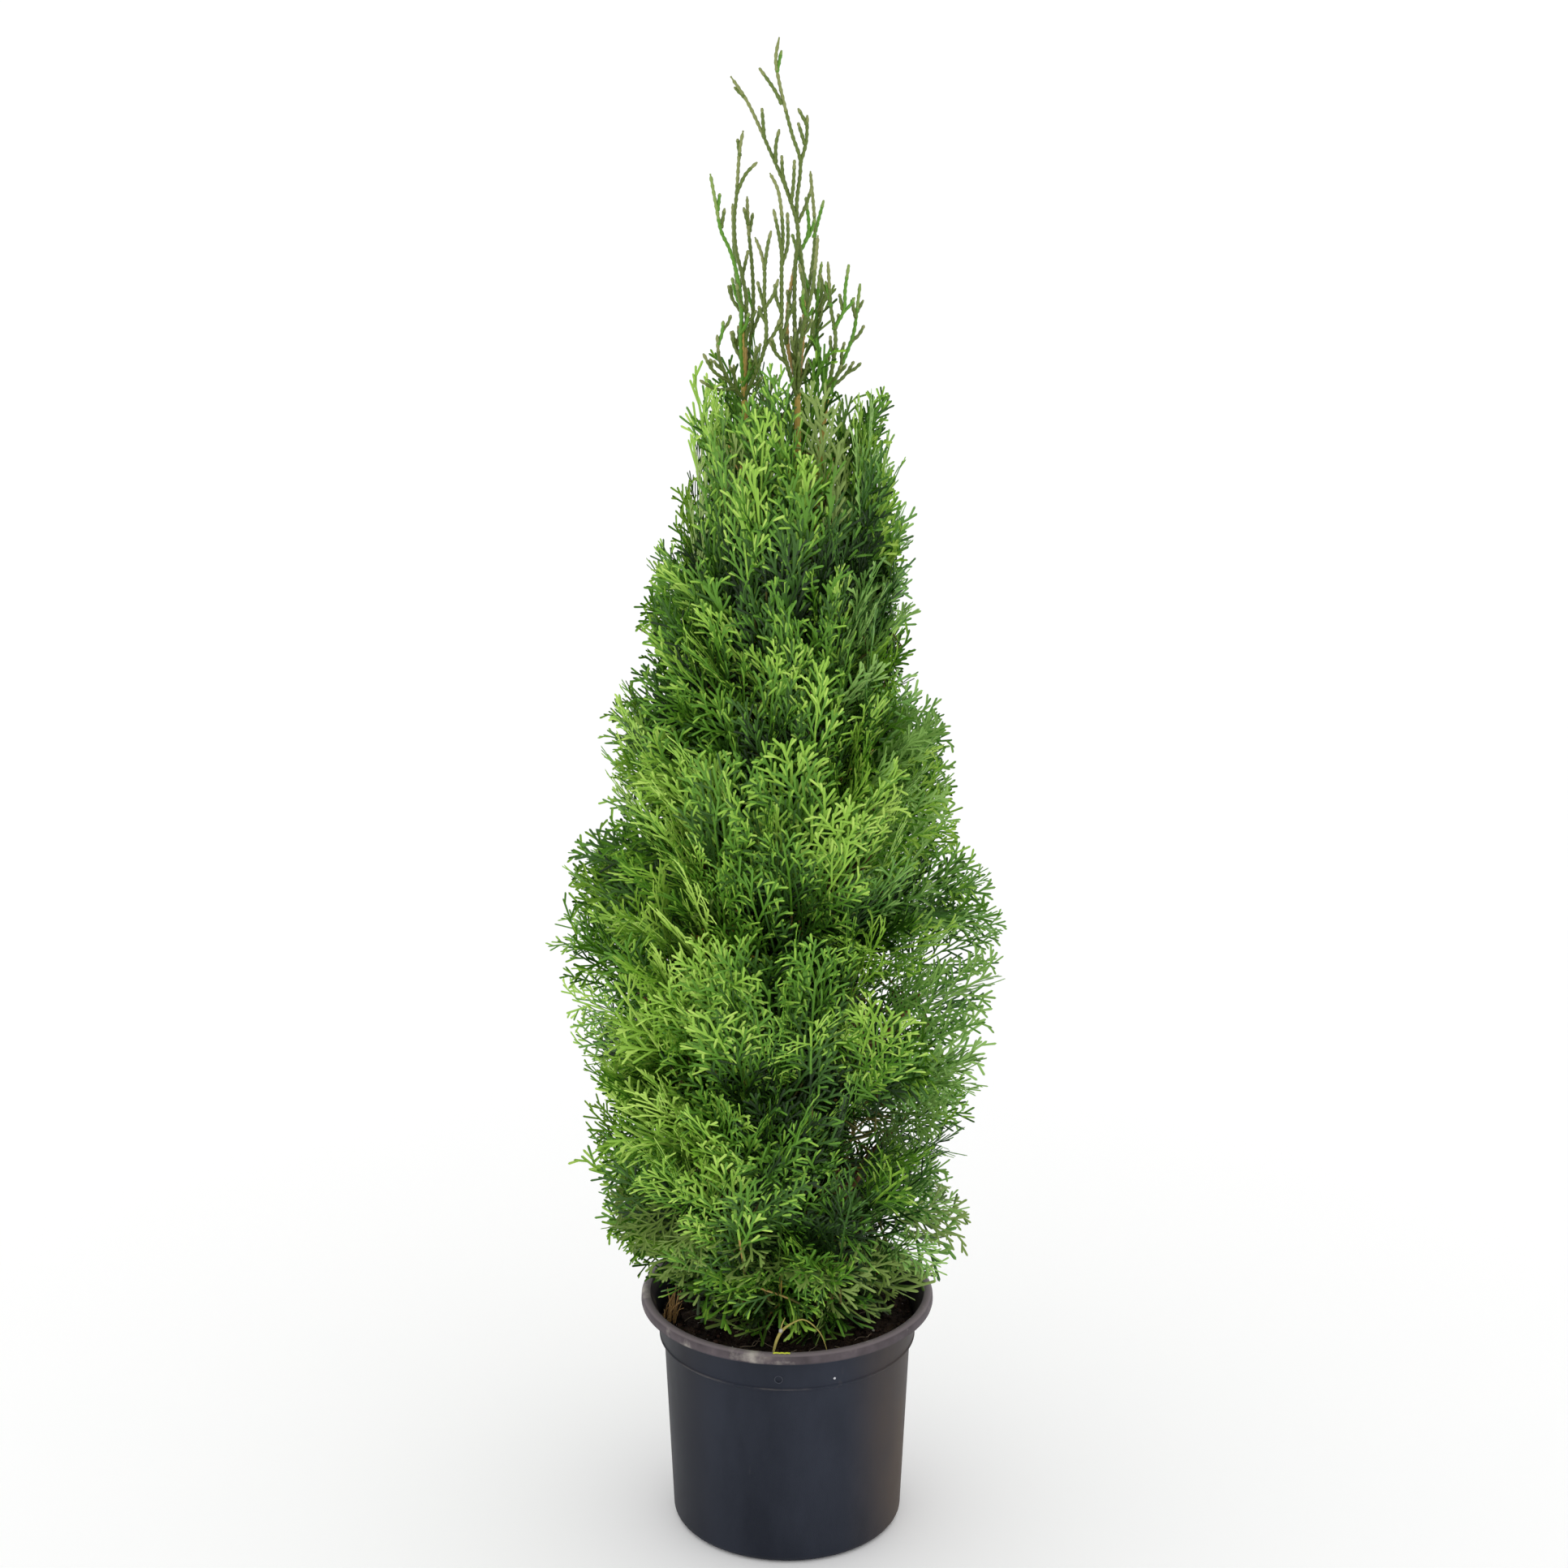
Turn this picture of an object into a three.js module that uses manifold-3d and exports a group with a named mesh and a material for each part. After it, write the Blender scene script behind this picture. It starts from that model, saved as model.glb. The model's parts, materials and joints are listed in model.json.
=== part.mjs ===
// A thuja in a nursery pot: three stems from one foot, ascending boughs and masses of flat sprays.
// Millimetres, +Z up, the front towards -Y. The origin is the middle of the pot's underside.
import * as THREE from "three";
import { mergeVertices } from "three/addons/utils/BufferGeometryUtils.js";
import Module from "manifold-3d";

// ---- Driving dimensions ----

const GAP = 0.3; // between pieces that touch
const MERGE = 1e-3; // points nearer than this are one
const GOLDEN_ANGLE = 137.5;

const POT = {
  height: 235,
  rimRadius: 140,
  lipWidth: 9.5,
  lipHeight: 10.5,
  collarHeight: 34, // the plain band under the lip
  collarTop: 127,
  collarFoot: 122,
  bodyTop: 118.2,
  bodyFoot: 110.6,
  footRound: 9,
  wall: 2.5,
  floor: 3,
  segments: 30,
  holes: 8,
  holeRadius: 6,
  holeCircle: 84,
};
const SOIL_TOP = POT.height - 25;

// Limbs: routes through [x, y, z], radius at the foot and at the tip.
const TRUNK = {
  route: [
    [-4, 0, SOIL_TOP + GAP],
    [-4, 0, SOIL_TOP + 30],
    [2, 3, 340],
    [7, 2, 520],
    [2, 3, 700],
    [5, 2, 900],
    [9, 0, 1050],
    [9, 0, 1104],
  ],
  foot: 10.5,
  tip: 2.6,
  flare: 5,
  flareHeight: 16,
};
const SIDE_STEMS = [
  {
    name: "stem_left",
    route: [
      [-4, 1, 222],
      [-22, 5, 248],
      [-40, 8, 290],
      [-45, 9, 340],
      [-29, 9, 467],
      [-43, 7, 540],
      [-38, 6, 800],
      [-36, 3, 1017],
      [-40, 0, 1162],
    ],
    foot: 6.6,
    tip: 2.2,
  },
  {
    name: "stem_right",
    route: [
      [-4, -1, 228],
      [18, -6, 254],
      [38, -9, 290],
      [46, -10, 335],
      [27, -9, 483],
      [33, -8, 620],
      [24, -6, 900],
      [28, -3, 1030],
      [36, 0, 1112],
    ],
    foot: 6,
    tip: 2.2,
  },
];

// The crown's reach from its axis at each height: [height, left, right, front and back].
const AXIS_X = -2;
const CROWN = [
  [214, 70, 90, 90],
  [240, 130, 146, 112],
  [275, 172, 182, 130],
  [320, 200, 196, 160],
  [380, 218, 190, 178],
  [440, 206, 192, 184],
  [520, 226, 206, 198],
  [620, 222, 202, 192],
  [700, 192, 170, 170],
  [790, 170, 152, 152],
  [880, 138, 120, 126],
  [1000, 120, 114, 110],
  [1085, 92, 98, 90],
  [1160, 76, 70, 66],
  [1230, 62, 52, 46],
  [1300, 66, 30, 26],
  [1380, 52, 24, 20],
  [1412, 14, 6, 12],
];

// Storeys of the crown, from the skirt up: each is a ring of masses between two cones that rise outwards.
// base is the lower cone's height on the axis and rise its slope; turn is the azimuth of the first mass.
const STOREYS = [
  { name: "skirt", masses: 6, turn: 0, base: SOIL_TOP + 6, rise: 0, fronds: 4, bough: true },
  { name: "lower", masses: 5, turn: 18, base: 282, rise: 0.4, fronds: 6, bough: true },
  { name: "middle", masses: 5, turn: 54, base: 410, rise: 0.55, fronds: 6, bough: true },
  { name: "upper", masses: 4, turn: 45, base: 550, rise: 0.65, fronds: 6, bough: true },
  { name: "shoulder", masses: 4, turn: 0, base: 715, rise: 0.8, fronds: 6, bough: false },
  { name: "neck", masses: 3, turn: 30, base: 890, rise: 0.9, fronds: 5, bough: false },
];
const CROWN_TOP_CONE = { base: 1105, rise: 1 };
const FORK_RADIUS = 8;
const MIDDLE_RADIUS = 100; // about where a mass's middle lies
const OUTER_RADIUS = 150; // about where its outer face lies
const POT_REACH = 116; // sprays nearer the axis than this may hang into the pot
const RIM_CLEAR = POT.height + 5;
const WALL_CLEAR = 1.2; // from a mass to the wall of its own space
const LIMB_CLEAR = 1.5; // from a spray to a limb
const LOBE = 0.1; // how much less a mass reaches at its edges than in its middle

// A bough starts a third of the way up its storey and ends at this share of the crown's reach.
const BOUGH = { start: 0.3, end: 0.4, climb: 0.27, foot: 4.4, tip: 2.6 };
const MASS_STEM = { end: 0.64, climb: 0.45, foot: 3, tip: 2 };
const SHORTEST_FROND = 55;
const FROND_WIDTHS = [1.08, 1.3];
const FROND_ROOTS = [0.04, 0.5]; // shares of the mass's stem
const FROND_TURN = 30; // either way about the midrib, in degrees
const ROOT_FREE = 12; // a blade may leave its space this near its root, where it is inside its stem
const FACING_LIFT = 0.5; // fronds face outwards and this much up
const DEAL = [0.7549, 0.5698]; // steps that deal the fronds' tips evenly over a mass's outer face
const TIP_REACH = 0.7; // a tip reaches at least this share of the crown's reach
// What a frond tries in turn: a root further along its stem, a turn about its midrib and a shorter blade.
const FROND_TRIES = [1, 0.88, 0.76].flatMap((shorter) =>
  [0, 0.25, 0.5, -0.25].flatMap((shift) => [0, 30, -30].map((twist) => [shift, twist, shorter])),
);

// A frond is a flat, toothed blade on its own stalk. Its sizes are shares of its length.
const FROND = {
  stalk: 0.16, // the bare foot
  halfStalk: 0.014,
  fingers: 4, // to each side, alternate
  finger: 0.4,
  fingerAngle: 44,
  web: 0.34, // the share of each finger that is joined to the next
  ribs: [0.06, 0.38, 0.72], // the blade is thickest at these places along its midrib
  thickness: 4, // in millimetres
  droop: -0.05, // it arches outwards
};

// Leading shoots above the crown: the route of each shoot on from its stem, then the tips of its forks.
const LEADERS = [
  {
    name: "leader_left",
    stem: "stem_left",
    route: [[-41, -1, 1200], [-44, 0, 1262], [-38, 0, 1327]],
    forks: [[-66, -8, 1293], [-86, 2, 1218], [-22, -12, 1262]],
  },
  {
    name: "leader_top",
    stem: "trunk",
    route: [[14, 0, 1211], [19, 0, 1274], [12, 0, 1318], [-4, 0, 1360], [-9, 0, 1407]],
    forks: [[-49, 4, 1370], [0, -14, 1240], [25, 8, 1280]],
  },
  {
    name: "leader_right",
    stem: "stem_right",
    route: [[42, 0, 1150], [57, 0, 1214]],
    forks: [[72, -8, 1190], [34, 14, 1196], [88, 4, 1152]],
  },
];
const LEADER = {
  fork: 1.7,
  tip: 1.1,
  forkRise: 2,
  lateral: 34,
  lateralStep: 30,
  lateralSpread: 36,
  lateralRadius: 1.6,
};

// ---- Small tools ----

const wasm = await Module();
wasm.setup();

const radians = THREE.MathUtils.degToRad;
const lerp = THREE.MathUtils.lerp;
const vector = ([x, y, z]) => new THREE.Vector3(x, y, z);
const UP = new THREE.Vector3(0, 0, 1);

// A repeatable stream of numbers from 0 to 1.
function seeded(seed) {
  let state = seed >>> 0;
  return () => {
    state = (state + 0x6d2b79f5) >>> 0;
    let mixed = Math.imul(state ^ (state >>> 15), 1 | state);
    mixed = (mixed + Math.imul(mixed ^ (mixed >>> 7), 61 | mixed)) ^ mixed;
    return ((mixed ^ (mixed >>> 14)) >>> 0) / 4294967296;
  };
}

function merged(geometry) {
  const bare = geometry.clone();
  bare.deleteAttribute("normal");
  bare.deleteAttribute("uv");
  return mergeVertices(bare, MERGE);
}

function solidOf(geometry) {
  const { attributes, index } = merged(geometry);
  return new wasm.Manifold(
    new wasm.Mesh({
      numProp: 3,
      vertProperties: attributes.position.array,
      triVerts: Uint32Array.from(index.array),
    }),
  );
}

function geometryOf(solid) {
  const mesh = solid.getMesh();
  const geometry = new THREE.BufferGeometry();
  geometry.setAttribute("position", new THREE.BufferAttribute(mesh.vertProperties, 3));
  geometry.setIndex(new THREE.BufferAttribute(mesh.triVerts, 1));
  geometry.computeVertexNormals();
  return geometry;
}

// Whether no two points of the solid all but touch.
function isCrisp(solid) {
  const geometry = geometryOf(solid);
  return merged(geometry).attributes.position.count === geometry.attributes.position.count;
}

// The largest outer skin alone: a hollow that fusing seals is filled and a loose scrap dropped.
function wholeBody(solid) {
  return solid.decompose().reduce((best, body) => (body.volume() > best.volume() ? body : best));
}

const MATERIALS = {
  pot: new THREE.MeshStandardMaterial({ color: 0x33373b, roughness: 0.6, metalness: 0 }),
  soil: new THREE.MeshStandardMaterial({ color: 0x1d1612, roughness: 1, metalness: 0 }),
  bark: new THREE.MeshStandardMaterial({ color: 0x6b4a34, roughness: 0.9, metalness: 0 }),
  foliage: new THREE.MeshStandardMaterial({ color: 0x55752f, roughness: 0.7, metalness: 0 }),
};

const plant = new THREE.Group();

function addNode(name, solid, material) {
  const mesh = new THREE.Mesh(geometryOf(solid), MATERIALS[material].clone());
  mesh.name = name;
  plant.add(mesh);
}

// ---- Pot and soil ----

function potWall() {
  const lipFoot = POT.height - POT.lipHeight;
  const collarFoot = lipFoot - POT.collarHeight;
  const bodyTop = collarFoot - 3.5;
  return { lipFoot, collarFoot, bodyTop };
}

function potSolid() {
  const { lipFoot, collarFoot, bodyTop } = potWall();
  const lipInner = POT.rimRadius - POT.lipWidth;
  const profile = [
    [0, 0],
    [POT.bodyFoot - POT.footRound, 0],
    [POT.bodyFoot - POT.footRound * 0.3, POT.footRound * 0.3],
    [POT.bodyFoot, POT.footRound],
    [POT.bodyTop, bodyTop],
    [POT.collarFoot, collarFoot],
    [POT.collarTop, lipFoot],
    [POT.rimRadius - 1.5, lipFoot],
    [POT.rimRadius, lipFoot + 3],
    [POT.rimRadius, POT.height - 3],
    [POT.rimRadius - 3, POT.height],
    [lipInner + 2, POT.height],
    [lipInner, POT.height - 2],
    [POT.collarTop - POT.wall, lipFoot - 2],
    [POT.collarFoot - POT.wall, collarFoot],
    [POT.bodyTop - POT.wall, bodyTop],
    [POT.bodyFoot - POT.wall, POT.footRound],
    [POT.bodyFoot - POT.footRound, POT.floor],
    [0, POT.floor],
  ];
  let pot = turned(profile);
  for (let hole = 0; hole < POT.holes; hole++) {
    const angle = (2 * Math.PI * hole) / POT.holes;
    const drill = new THREE.CylinderGeometry(POT.holeRadius, POT.holeRadius, 4 * POT.floor, 6);
    drill.rotateX(Math.PI / 2);
    drill.translate(POT.holeCircle * Math.cos(angle), POT.holeCircle * Math.sin(angle), 0);
    pot = pot.subtract(solidOf(drill));
  }
  return pot;
}

// The compost fills the pot to just under the collar's top and is a little higher round the stems.
function soilSolid() {
  const { collarFoot, bodyTop } = potWall();
  const inside = POT.wall + GAP;
  const slope = (POT.collarTop - POT.collarFoot) / POT.collarHeight;
  const edge = POT.collarFoot - inside + slope * (SOIL_TOP - 3 - collarFoot);
  return turned([
    [0, POT.floor + GAP],
    [POT.bodyFoot - POT.footRound - GAP, POT.floor + GAP],
    [POT.bodyFoot - inside, POT.footRound + GAP],
    [POT.bodyTop - inside, bodyTop],
    [POT.collarFoot - inside, collarFoot],
    [edge, SOIL_TOP - 3],
    [0.6 * edge, SOIL_TOP],
    [0, SOIL_TOP],
  ]);
}

function turned(profile) {
  const points = profile.map(([radius, height]) => new THREE.Vector2(radius, height));
  const geometry = new THREE.LatheGeometry(points, POT.segments);
  geometry.rotateX(Math.PI / 2);
  return solidOf(geometry);
}

// ---- Limbs ----

const SAMPLE_STEP = 5;
const limbSamples = []; // points along every limb, which sprays keep clear of

function makeLimb(route, radiusAt, sides, steps) {
  const curve = new THREE.CatmullRomCurve3(route, false, "centripetal");
  return { curve, radiusAt, sides, steps };
}

function keepClearOf(limb) {
  const count = Math.ceil(limb.curve.getLength() / SAMPLE_STEP);
  for (let i = 0; i <= count; i++) {
    limbSamples.push({ point: limb.curve.getPointAt(i / count), radius: limb.radiusAt(i / count) });
  }
}

// A closed tube along the limb's route, or one that is fatter by swell on all sides.
function limbSolid(limb, swell = 0, flatFoot = null) {
  const tube = new THREE.CylinderGeometry(1, 1, 1, limb.sides, limb.steps);
  const frames = limb.curve.computeFrenetFrames(limb.steps);
  const position = tube.attributes.position;
  for (let i = 0; i < position.count; i++) {
    const step = Math.round((position.getY(i) + 0.5) * limb.steps);
    const radius = limb.radiusAt(step / limb.steps) + swell;
    const vertex = limb.curve
      .getPointAt(step / limb.steps)
      .addScaledVector(frames.binormals[step], position.getX(i) * radius)
      .addScaledVector(frames.normals[step], position.getZ(i) * radius);
    if (step === 0 && flatFoot !== null) vertex.z = flatFoot;
    position.setXYZ(i, vertex.x, vertex.y, vertex.z);
  }
  return solidOf(tube);
}

function taper(foot, tip) {
  return (share) => lerp(foot, tip, share);
}

// The point of a limb at a height, for limbs that climb all the way.
function limbAtHeight(limb, height) {
  let [low, high] = [0, 1];
  for (let i = 0; i < 30; i++) {
    const middle = (low + high) / 2;
    if (limb.curve.getPointAt(middle).z < height) low = middle;
    else high = middle;
  }
  return limb.curve.getPointAt(low);
}

const stems = {};
const stemClearances = []; // each stem, fatter by the gap, to cut what meets it

function cutClearOfStems(solid) {
  return wholeBody(stemClearances.reduce((left, stem) => left.subtract(stem), solid));
}

function growStems() {
  const length = TRUNK.route.at(-1)[2] - SOIL_TOP;
  const trunkRadius = (share) =>
    lerp(TRUNK.foot, TRUNK.tip, share) + TRUNK.flare * Math.exp((-share * length) / TRUNK.flareHeight);
  stems.trunk = makeLimb(TRUNK.route.map(vector), trunkRadius, 8, 18);
  addNode("trunk", limbSolid(stems.trunk, 0, SOIL_TOP + GAP), "bark");
  stemClearances.push(limbSolid(stems.trunk, GAP));
  for (const { name, route, foot, tip } of SIDE_STEMS) {
    stems[name] = makeLimb(route.map(vector), taper(foot, tip), 6, 18);
    addNode(name, cutClearOfStems(limbSolid(stems[name])), "bark");
    stemClearances.push(limbSolid(stems[name], GAP));
  }
  Object.values(stems).forEach(keepClearOf);
}

// ---- The crown's shape ----

function crownReach(height, azimuth) {
  const row = Math.max(1, CROWN.findIndex(([top]) => top >= height));
  if (height > CROWN.at(-1)[0] || height < CROWN[0][0]) return 0;
  const [lower, upper] = [CROWN[row - 1], CROWN[row]];
  const share = (height - lower[0]) / (upper[0] - lower[0]);
  const [left, right, depth] = [1, 2, 3].map((column) => lerp(lower[column], upper[column], share));
  const side = Math.cos(azimuth) > 0 ? right : left;
  return 1 / Math.hypot(Math.cos(azimuth) / side, Math.sin(azimuth) / depth);
}

function polar(point) {
  const x = point.x - AXIS_X;
  return { radius: Math.hypot(x, point.y), azimuth: Math.atan2(point.y, x) };
}

function fromPolar(radius, azimuth, height) {
  return new THREE.Vector3(AXIS_X + radius * Math.cos(azimuth), radius * Math.sin(azimuth), height);
}

function angleBetween(a, b) {
  return Math.abs(THREE.MathUtils.euclideanModulo(a - b + Math.PI, 2 * Math.PI) - Math.PI);
}

// The heights between which a storey lies at a distance from the axis.
function storeyHeights(index, radius) {
  const { base, rise } = STOREYS[index];
  const above = STOREYS[index + 1] ?? CROWN_TOP_CONE;
  const low = index === 0 && radius > POT_REACH ? RIM_CLEAR : base + rise * radius;
  return [low, above.base + above.rise * radius];
}

// The space of one mass: its sector of its storey, inside the crown. It reaches furthest in its middle.
function massSpace(index, azimuth) {
  const half = Math.PI / STOREYS[index].masses;
  return (point) => {
    const place = polar(point);
    const off = angleBetween(place.azimuth, azimuth);
    if (off >= half || place.radius * Math.sin(half - off) < WALL_CLEAR) return false;
    const [low, high] = storeyHeights(index, place.radius);
    if (point.z < low + WALL_CLEAR || point.z > high - WALL_CLEAR) return false;
    const across = off / half;
    const upDown = (2 * (point.z - low)) / (high - low) - 1;
    const lobe = 1 - LOBE * (across * across + 0.5 * upDown * upDown);
    return place.radius < crownReach(point.z, place.azimuth) * lobe;
  };
}

// ---- Sprays ----

// A frond's outline in order round it: how far across and along, and the place of the rib beside it.
function frondOutline() {
  const { stalk, halfStalk, fingers, finger, fingerAngle, web, ribs } = FROND;
  const nearestRib = (place) => ribs.reduce((a, b) => (Math.abs(b - place) < Math.abs(a - place) ? b : a));
  const side = (sign, shift) => {
    const points = [[sign * halfStalk, 0, ribs[0]]];
    for (let i = 0; i < fingers; i++) {
      const foot = stalk + ((i + shift) / fingers) * (1 - stalk) * 0.86;
      const reach = finger * Math.sin(Math.PI * lerp(0.42, 0.84, foot));
      for (const part of [web, 1]) {
        const across = sign * part * reach * Math.sin(radians(fingerAngle));
        const forward = foot + part * reach * Math.cos(radians(fingerAngle));
        points.push([across, forward, nearestRib(foot)]);
      }
    }
    return points;
  };
  return [...side(-1, 0), [0, 1, ribs.at(-1)], ...side(1, 0.5).reverse()];
}
const FROND_OUTLINE = frondOutline();

// The blade: a ball of two rows whose equator is the outline and whose poles are drawn out to a midrib.
function frondBlade({ root, along, across, length, width }) {
  const count = FROND_OUTLINE.length;
  const blade = new THREE.SphereGeometry(1, count, 2, 0, 2 * Math.PI, 0.1, Math.PI - 0.2);
  const face = new THREE.Vector3().crossVectors(along, across);
  const { position } = blade.attributes;
  for (let i = 0; i < position.count; i++) {
    const row = Math.floor(i / (count + 1));
    const [side, outer, rib] = FROND_OUTLINE[(i % (count + 1)) % count];
    const forward = row === 1 ? outer : rib;
    const lift = ((1 - row) * FROND.thickness) / 2 - FROND.droop * length * forward * forward;
    const vertex = root
      .clone()
      .addScaledVector(along, forward * length)
      .addScaledVector(across, row === 1 ? side * length * width : 0)
      .addScaledVector(face, lift);
    position.setXYZ(i, vertex.x, vertex.y, vertex.z);
  }
  return blade;
}

// The blade's own points and those half-way between neighbours and across it.
function bladePoints(blade) {
  const { position } = blade.attributes;
  const columns = FROND_OUTLINE.length + 1;
  const vertex = (i) => new THREE.Vector3().fromBufferAttribute(position, i);
  const at = (row, column) => vertex(row * columns + column);
  const points = Array.from({ length: position.count }, (_, i) => vertex(i));
  for (let column = 1; column < columns; column++) {
    points.push(at(1, column).lerp(at(1, column - 1), 0.5));
    points.push(at(1, column).lerp(at(0, column), 0.5));
  }
  return points;
}

function bladeMeetsLimb({ root, along, across, length, width }) {
  const face = new THREE.Vector3().crossVectors(along, across);
  const offset = new THREE.Vector3();
  const halfWidth = FROND.finger * Math.sin(radians(FROND.fingerAngle)) * length * width;
  return limbSamples.some(({ point, radius }) => {
    const clear = radius + LIMB_CLEAR;
    offset.subVectors(point, root);
    const forward = offset.dot(along);
    const drop = (FROND.droop * forward * forward) / length;
    return (
      forward > -clear &&
      forward < length + clear &&
      Math.abs(offset.dot(across)) < halfWidth + clear &&
      Math.abs(offset.dot(face) + drop) < FROND.thickness / 2 + clear
    );
  });
}

// ---- Masses ----

function apart(a, b) {
  const [boxA, boxB] = [a.boundingBox(), b.boundingBox()];
  const past = (first, second) => [0, 1, 2].some((axis) => first.min[axis] > second.max[axis]);
  const boxesApart = past(boxA, boxB) || past(boxB, boxA);
  return boxesApart || a.intersect(b).isEmpty();
}

// The frond that reaches from the stem to a target, or one near it: the first that stays in its space,
// clear of limbs, and crosses no more of the other fronds than it may.
function growFrond(space, stem, target, facing, random, others, crossings) {
  const turn = lerp(-FROND_TURN, FROND_TURN, random());
  const width = lerp(...FROND_WIDTHS, random());
  const share = lerp(...FROND_ROOTS, random());
  for (const [shift, twist, shorter] of FROND_TRIES) {
    const root = stem.curve.getPointAt(THREE.MathUtils.clamp(share + shift, 0.03, 0.98));
    const heading = target.clone().sub(root);
    const length = heading.length() * shorter;
    heading.normalize();
    const across = new THREE.Vector3().crossVectors(facing, heading).normalize();
    across.applyAxisAngle(heading, radians(turn + twist));
    const frond = { root, along: heading, across, length, width };
    if (length < SHORTEST_FROND || bladeMeetsLimb(frond)) continue;
    const blade = frondBlade(frond);
    const inside = bladePoints(blade).every((point) => point.distanceTo(root) < ROOT_FREE || space(point));
    if (!inside) continue;
    const solid = solidOf(blade);
    if (others.filter((other) => !apart(solid, other)).length <= crossings) return solid;
  }
  return null;
}

// One stem with fronds that fan out from it to places dealt evenly over the mass's outer face.
function growMass({ name, index, azimuth, storey, stem }, seed) {
  const random = seeded(seed);
  const space = massSpace(index, azimuth);
  const half = Math.PI / storey.masses;
  const fronds = [];
  let mass = cutClearOfStems(limbSolid(stem));
  for (let i = 0; fronds.length < storey.fronds && i < 4 * storey.fronds; i++) {
    const aside = azimuth + half * lerp(-0.85, 0.85, (0.5 + i * DEAL[0]) % 1);
    const climb = lerp(0.12, 1, (0.5 + i * DEAL[1]) % 1);
    const target = outermost(space, index, aside, climb);
    if (!target) continue;
    const facing = new THREE.Vector3(Math.cos(aside), Math.sin(aside), FACING_LIFT);
    const crossings = fronds.length > 3 || i < 3 * storey.fronds ? 0 : 1;
    const frond = growFrond(space, stem, target, facing, random, fronds, crossings);
    if (!frond || !isCrisp(mass.add(frond))) continue;
    fronds.push(frond);
    mass = mass.add(frond);
  }
  addNode(`foliage_${name}`, wholeBody(mass), "foliage");
}

// The point of a space furthest from the axis, at an azimuth and a share of the way up the storey.
function outermost(space, index, azimuth, climb) {
  const { z } = storeyPoint(index, OUTER_RADIUS, azimuth, climb);
  for (let share = 1; share > TIP_REACH; share -= 0.02) {
    const point = storeyPoint(index, crownReach(z, azimuth) * share, azimuth, climb);
    if (space(point)) return point;
  }
  return null;
}

// The stem that carries a bough: a side stem where the bough points its way, or else the trunk.
function carrierOf(azimuth) {
  if (Math.cos(azimuth) > 0.75) return "stem_right";
  if (Math.cos(azimuth) < -0.75) return "stem_left";
  return "trunk";
}

function storeyPoint(index, radius, azimuth, share) {
  const [low, high] = storeyHeights(index, radius);
  return fromPolar(radius, azimuth, lerp(low, high, share));
}

// The place where a storey's bough or mass leaves its carrier, low in the storey there.
function forkPoint(index, azimuth, carrier) {
  const offAxis = polar(carrier.curve.getPointAt(0.5)).radius;
  const { z } = storeyPoint(index, FORK_RADIUS, azimuth, BOUGH.start);
  return limbAtHeight(carrier, z + STOREYS[index].rise * offAxis);
}

function planMasses() {
  const plans = [];
  STOREYS.forEach((storey, index) => {
    for (let i = 0; i < storey.masses; i++) {
      const name = `${storey.name}_${i + 1}`;
      const azimuth = radians(storey.turn + (360 * i) / storey.masses);
      const reach = crownReach(storeyPoint(index, MIDDLE_RADIUS, azimuth, 0.5).z, azimuth);
      const start = forkPoint(index, azimuth, stems[carrierOf(azimuth)]);
      const end = storeyPoint(index, reach * MASS_STEM.end, azimuth, MASS_STEM.climb);
      plans.push({ name, index, storey, azimuth, reach, start, end });
    }
  });
  return plans;
}

function growBoughs(plans) {
  for (const plan of plans) {
    const { storey, index, azimuth, reach, start, end, name } = plan;
    if (!storey.bough) {
      const middle = start.clone().lerp(end, 0.4).addScaledVector(UP, -0.04 * reach);
      plan.stem = makeLimb([start, middle, end], taper(MASS_STEM.foot, MASS_STEM.tip), 4, 2);
      continue;
    }
    const tip = storeyPoint(index, reach * BOUGH.end, azimuth, BOUGH.climb);
    const middle = start.clone().lerp(tip, 0.5).addScaledVector(UP, -0.03 * reach);
    const bough = makeLimb([start, middle, tip], taper(BOUGH.foot, BOUGH.tip), 5, 3);
    addNode(`bough_${name}`, cutClearOfStems(limbSolid(bough)), "bark");
    keepClearOf(bough);
    const heading = bough.curve.getTangentAt(1);
    const first = tip.clone().addScaledVector(heading, GAP);
    const second = tip.clone().addScaledVector(heading, 10);
    plan.stem = makeLimb([first, second, end], taper(BOUGH.tip, MASS_STEM.tip), 4, 2);
  }
}

// ---- Leading shoots ----

// The leader's limbs: its shoot on from the stem's tip, then its forks, each from lower on the shoot.
function leaderLimbs({ stem, route, forks }) {
  const carrier = stems[stem];
  const tip = carrier.curve.getPointAt(1);
  const heading = carrier.curve.getTangentAt(1);
  const foot = [GAP, 10].map((ahead) => tip.clone().addScaledVector(heading, ahead));
  const shoot = makeLimb([...foot, ...route.map(vector)], taper(carrier.radiusAt(1), LEADER.tip), 4, 7);
  const branches = forks.map((end) => {
    const fork = vector(end);
    const across = Math.hypot(fork.x - limbAtHeight(shoot, fork.z).x, fork.y);
    const start = limbAtHeight(shoot, Math.max(fork.z - LEADER.forkRise * across - 20, foot[1].z));
    const middle = start.clone().lerp(fork, 0.5).lerp(new THREE.Vector3(fork.x, fork.y, start.z), 0.15);
    return makeLimb([start, middle, fork], taper(LEADER.fork, LEADER.tip), 3, 2);
  });
  return [shoot, ...branches];
}

// A three-sided cone from start to end.
function coneSolid(start, end, radius) {
  const direction = end.clone().sub(start);
  const cone = new THREE.ConeGeometry(radius, direction.length(), 3, 1);
  const middle = start.clone().lerp(end, 0.5);
  const upright = new THREE.Vector3(0, 1, 0);
  cone.applyQuaternion(new THREE.Quaternion().setFromUnitVectors(upright, direction.normalize()));
  cone.translate(middle.x, middle.y, middle.z);
  return solidOf(cone);
}

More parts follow.
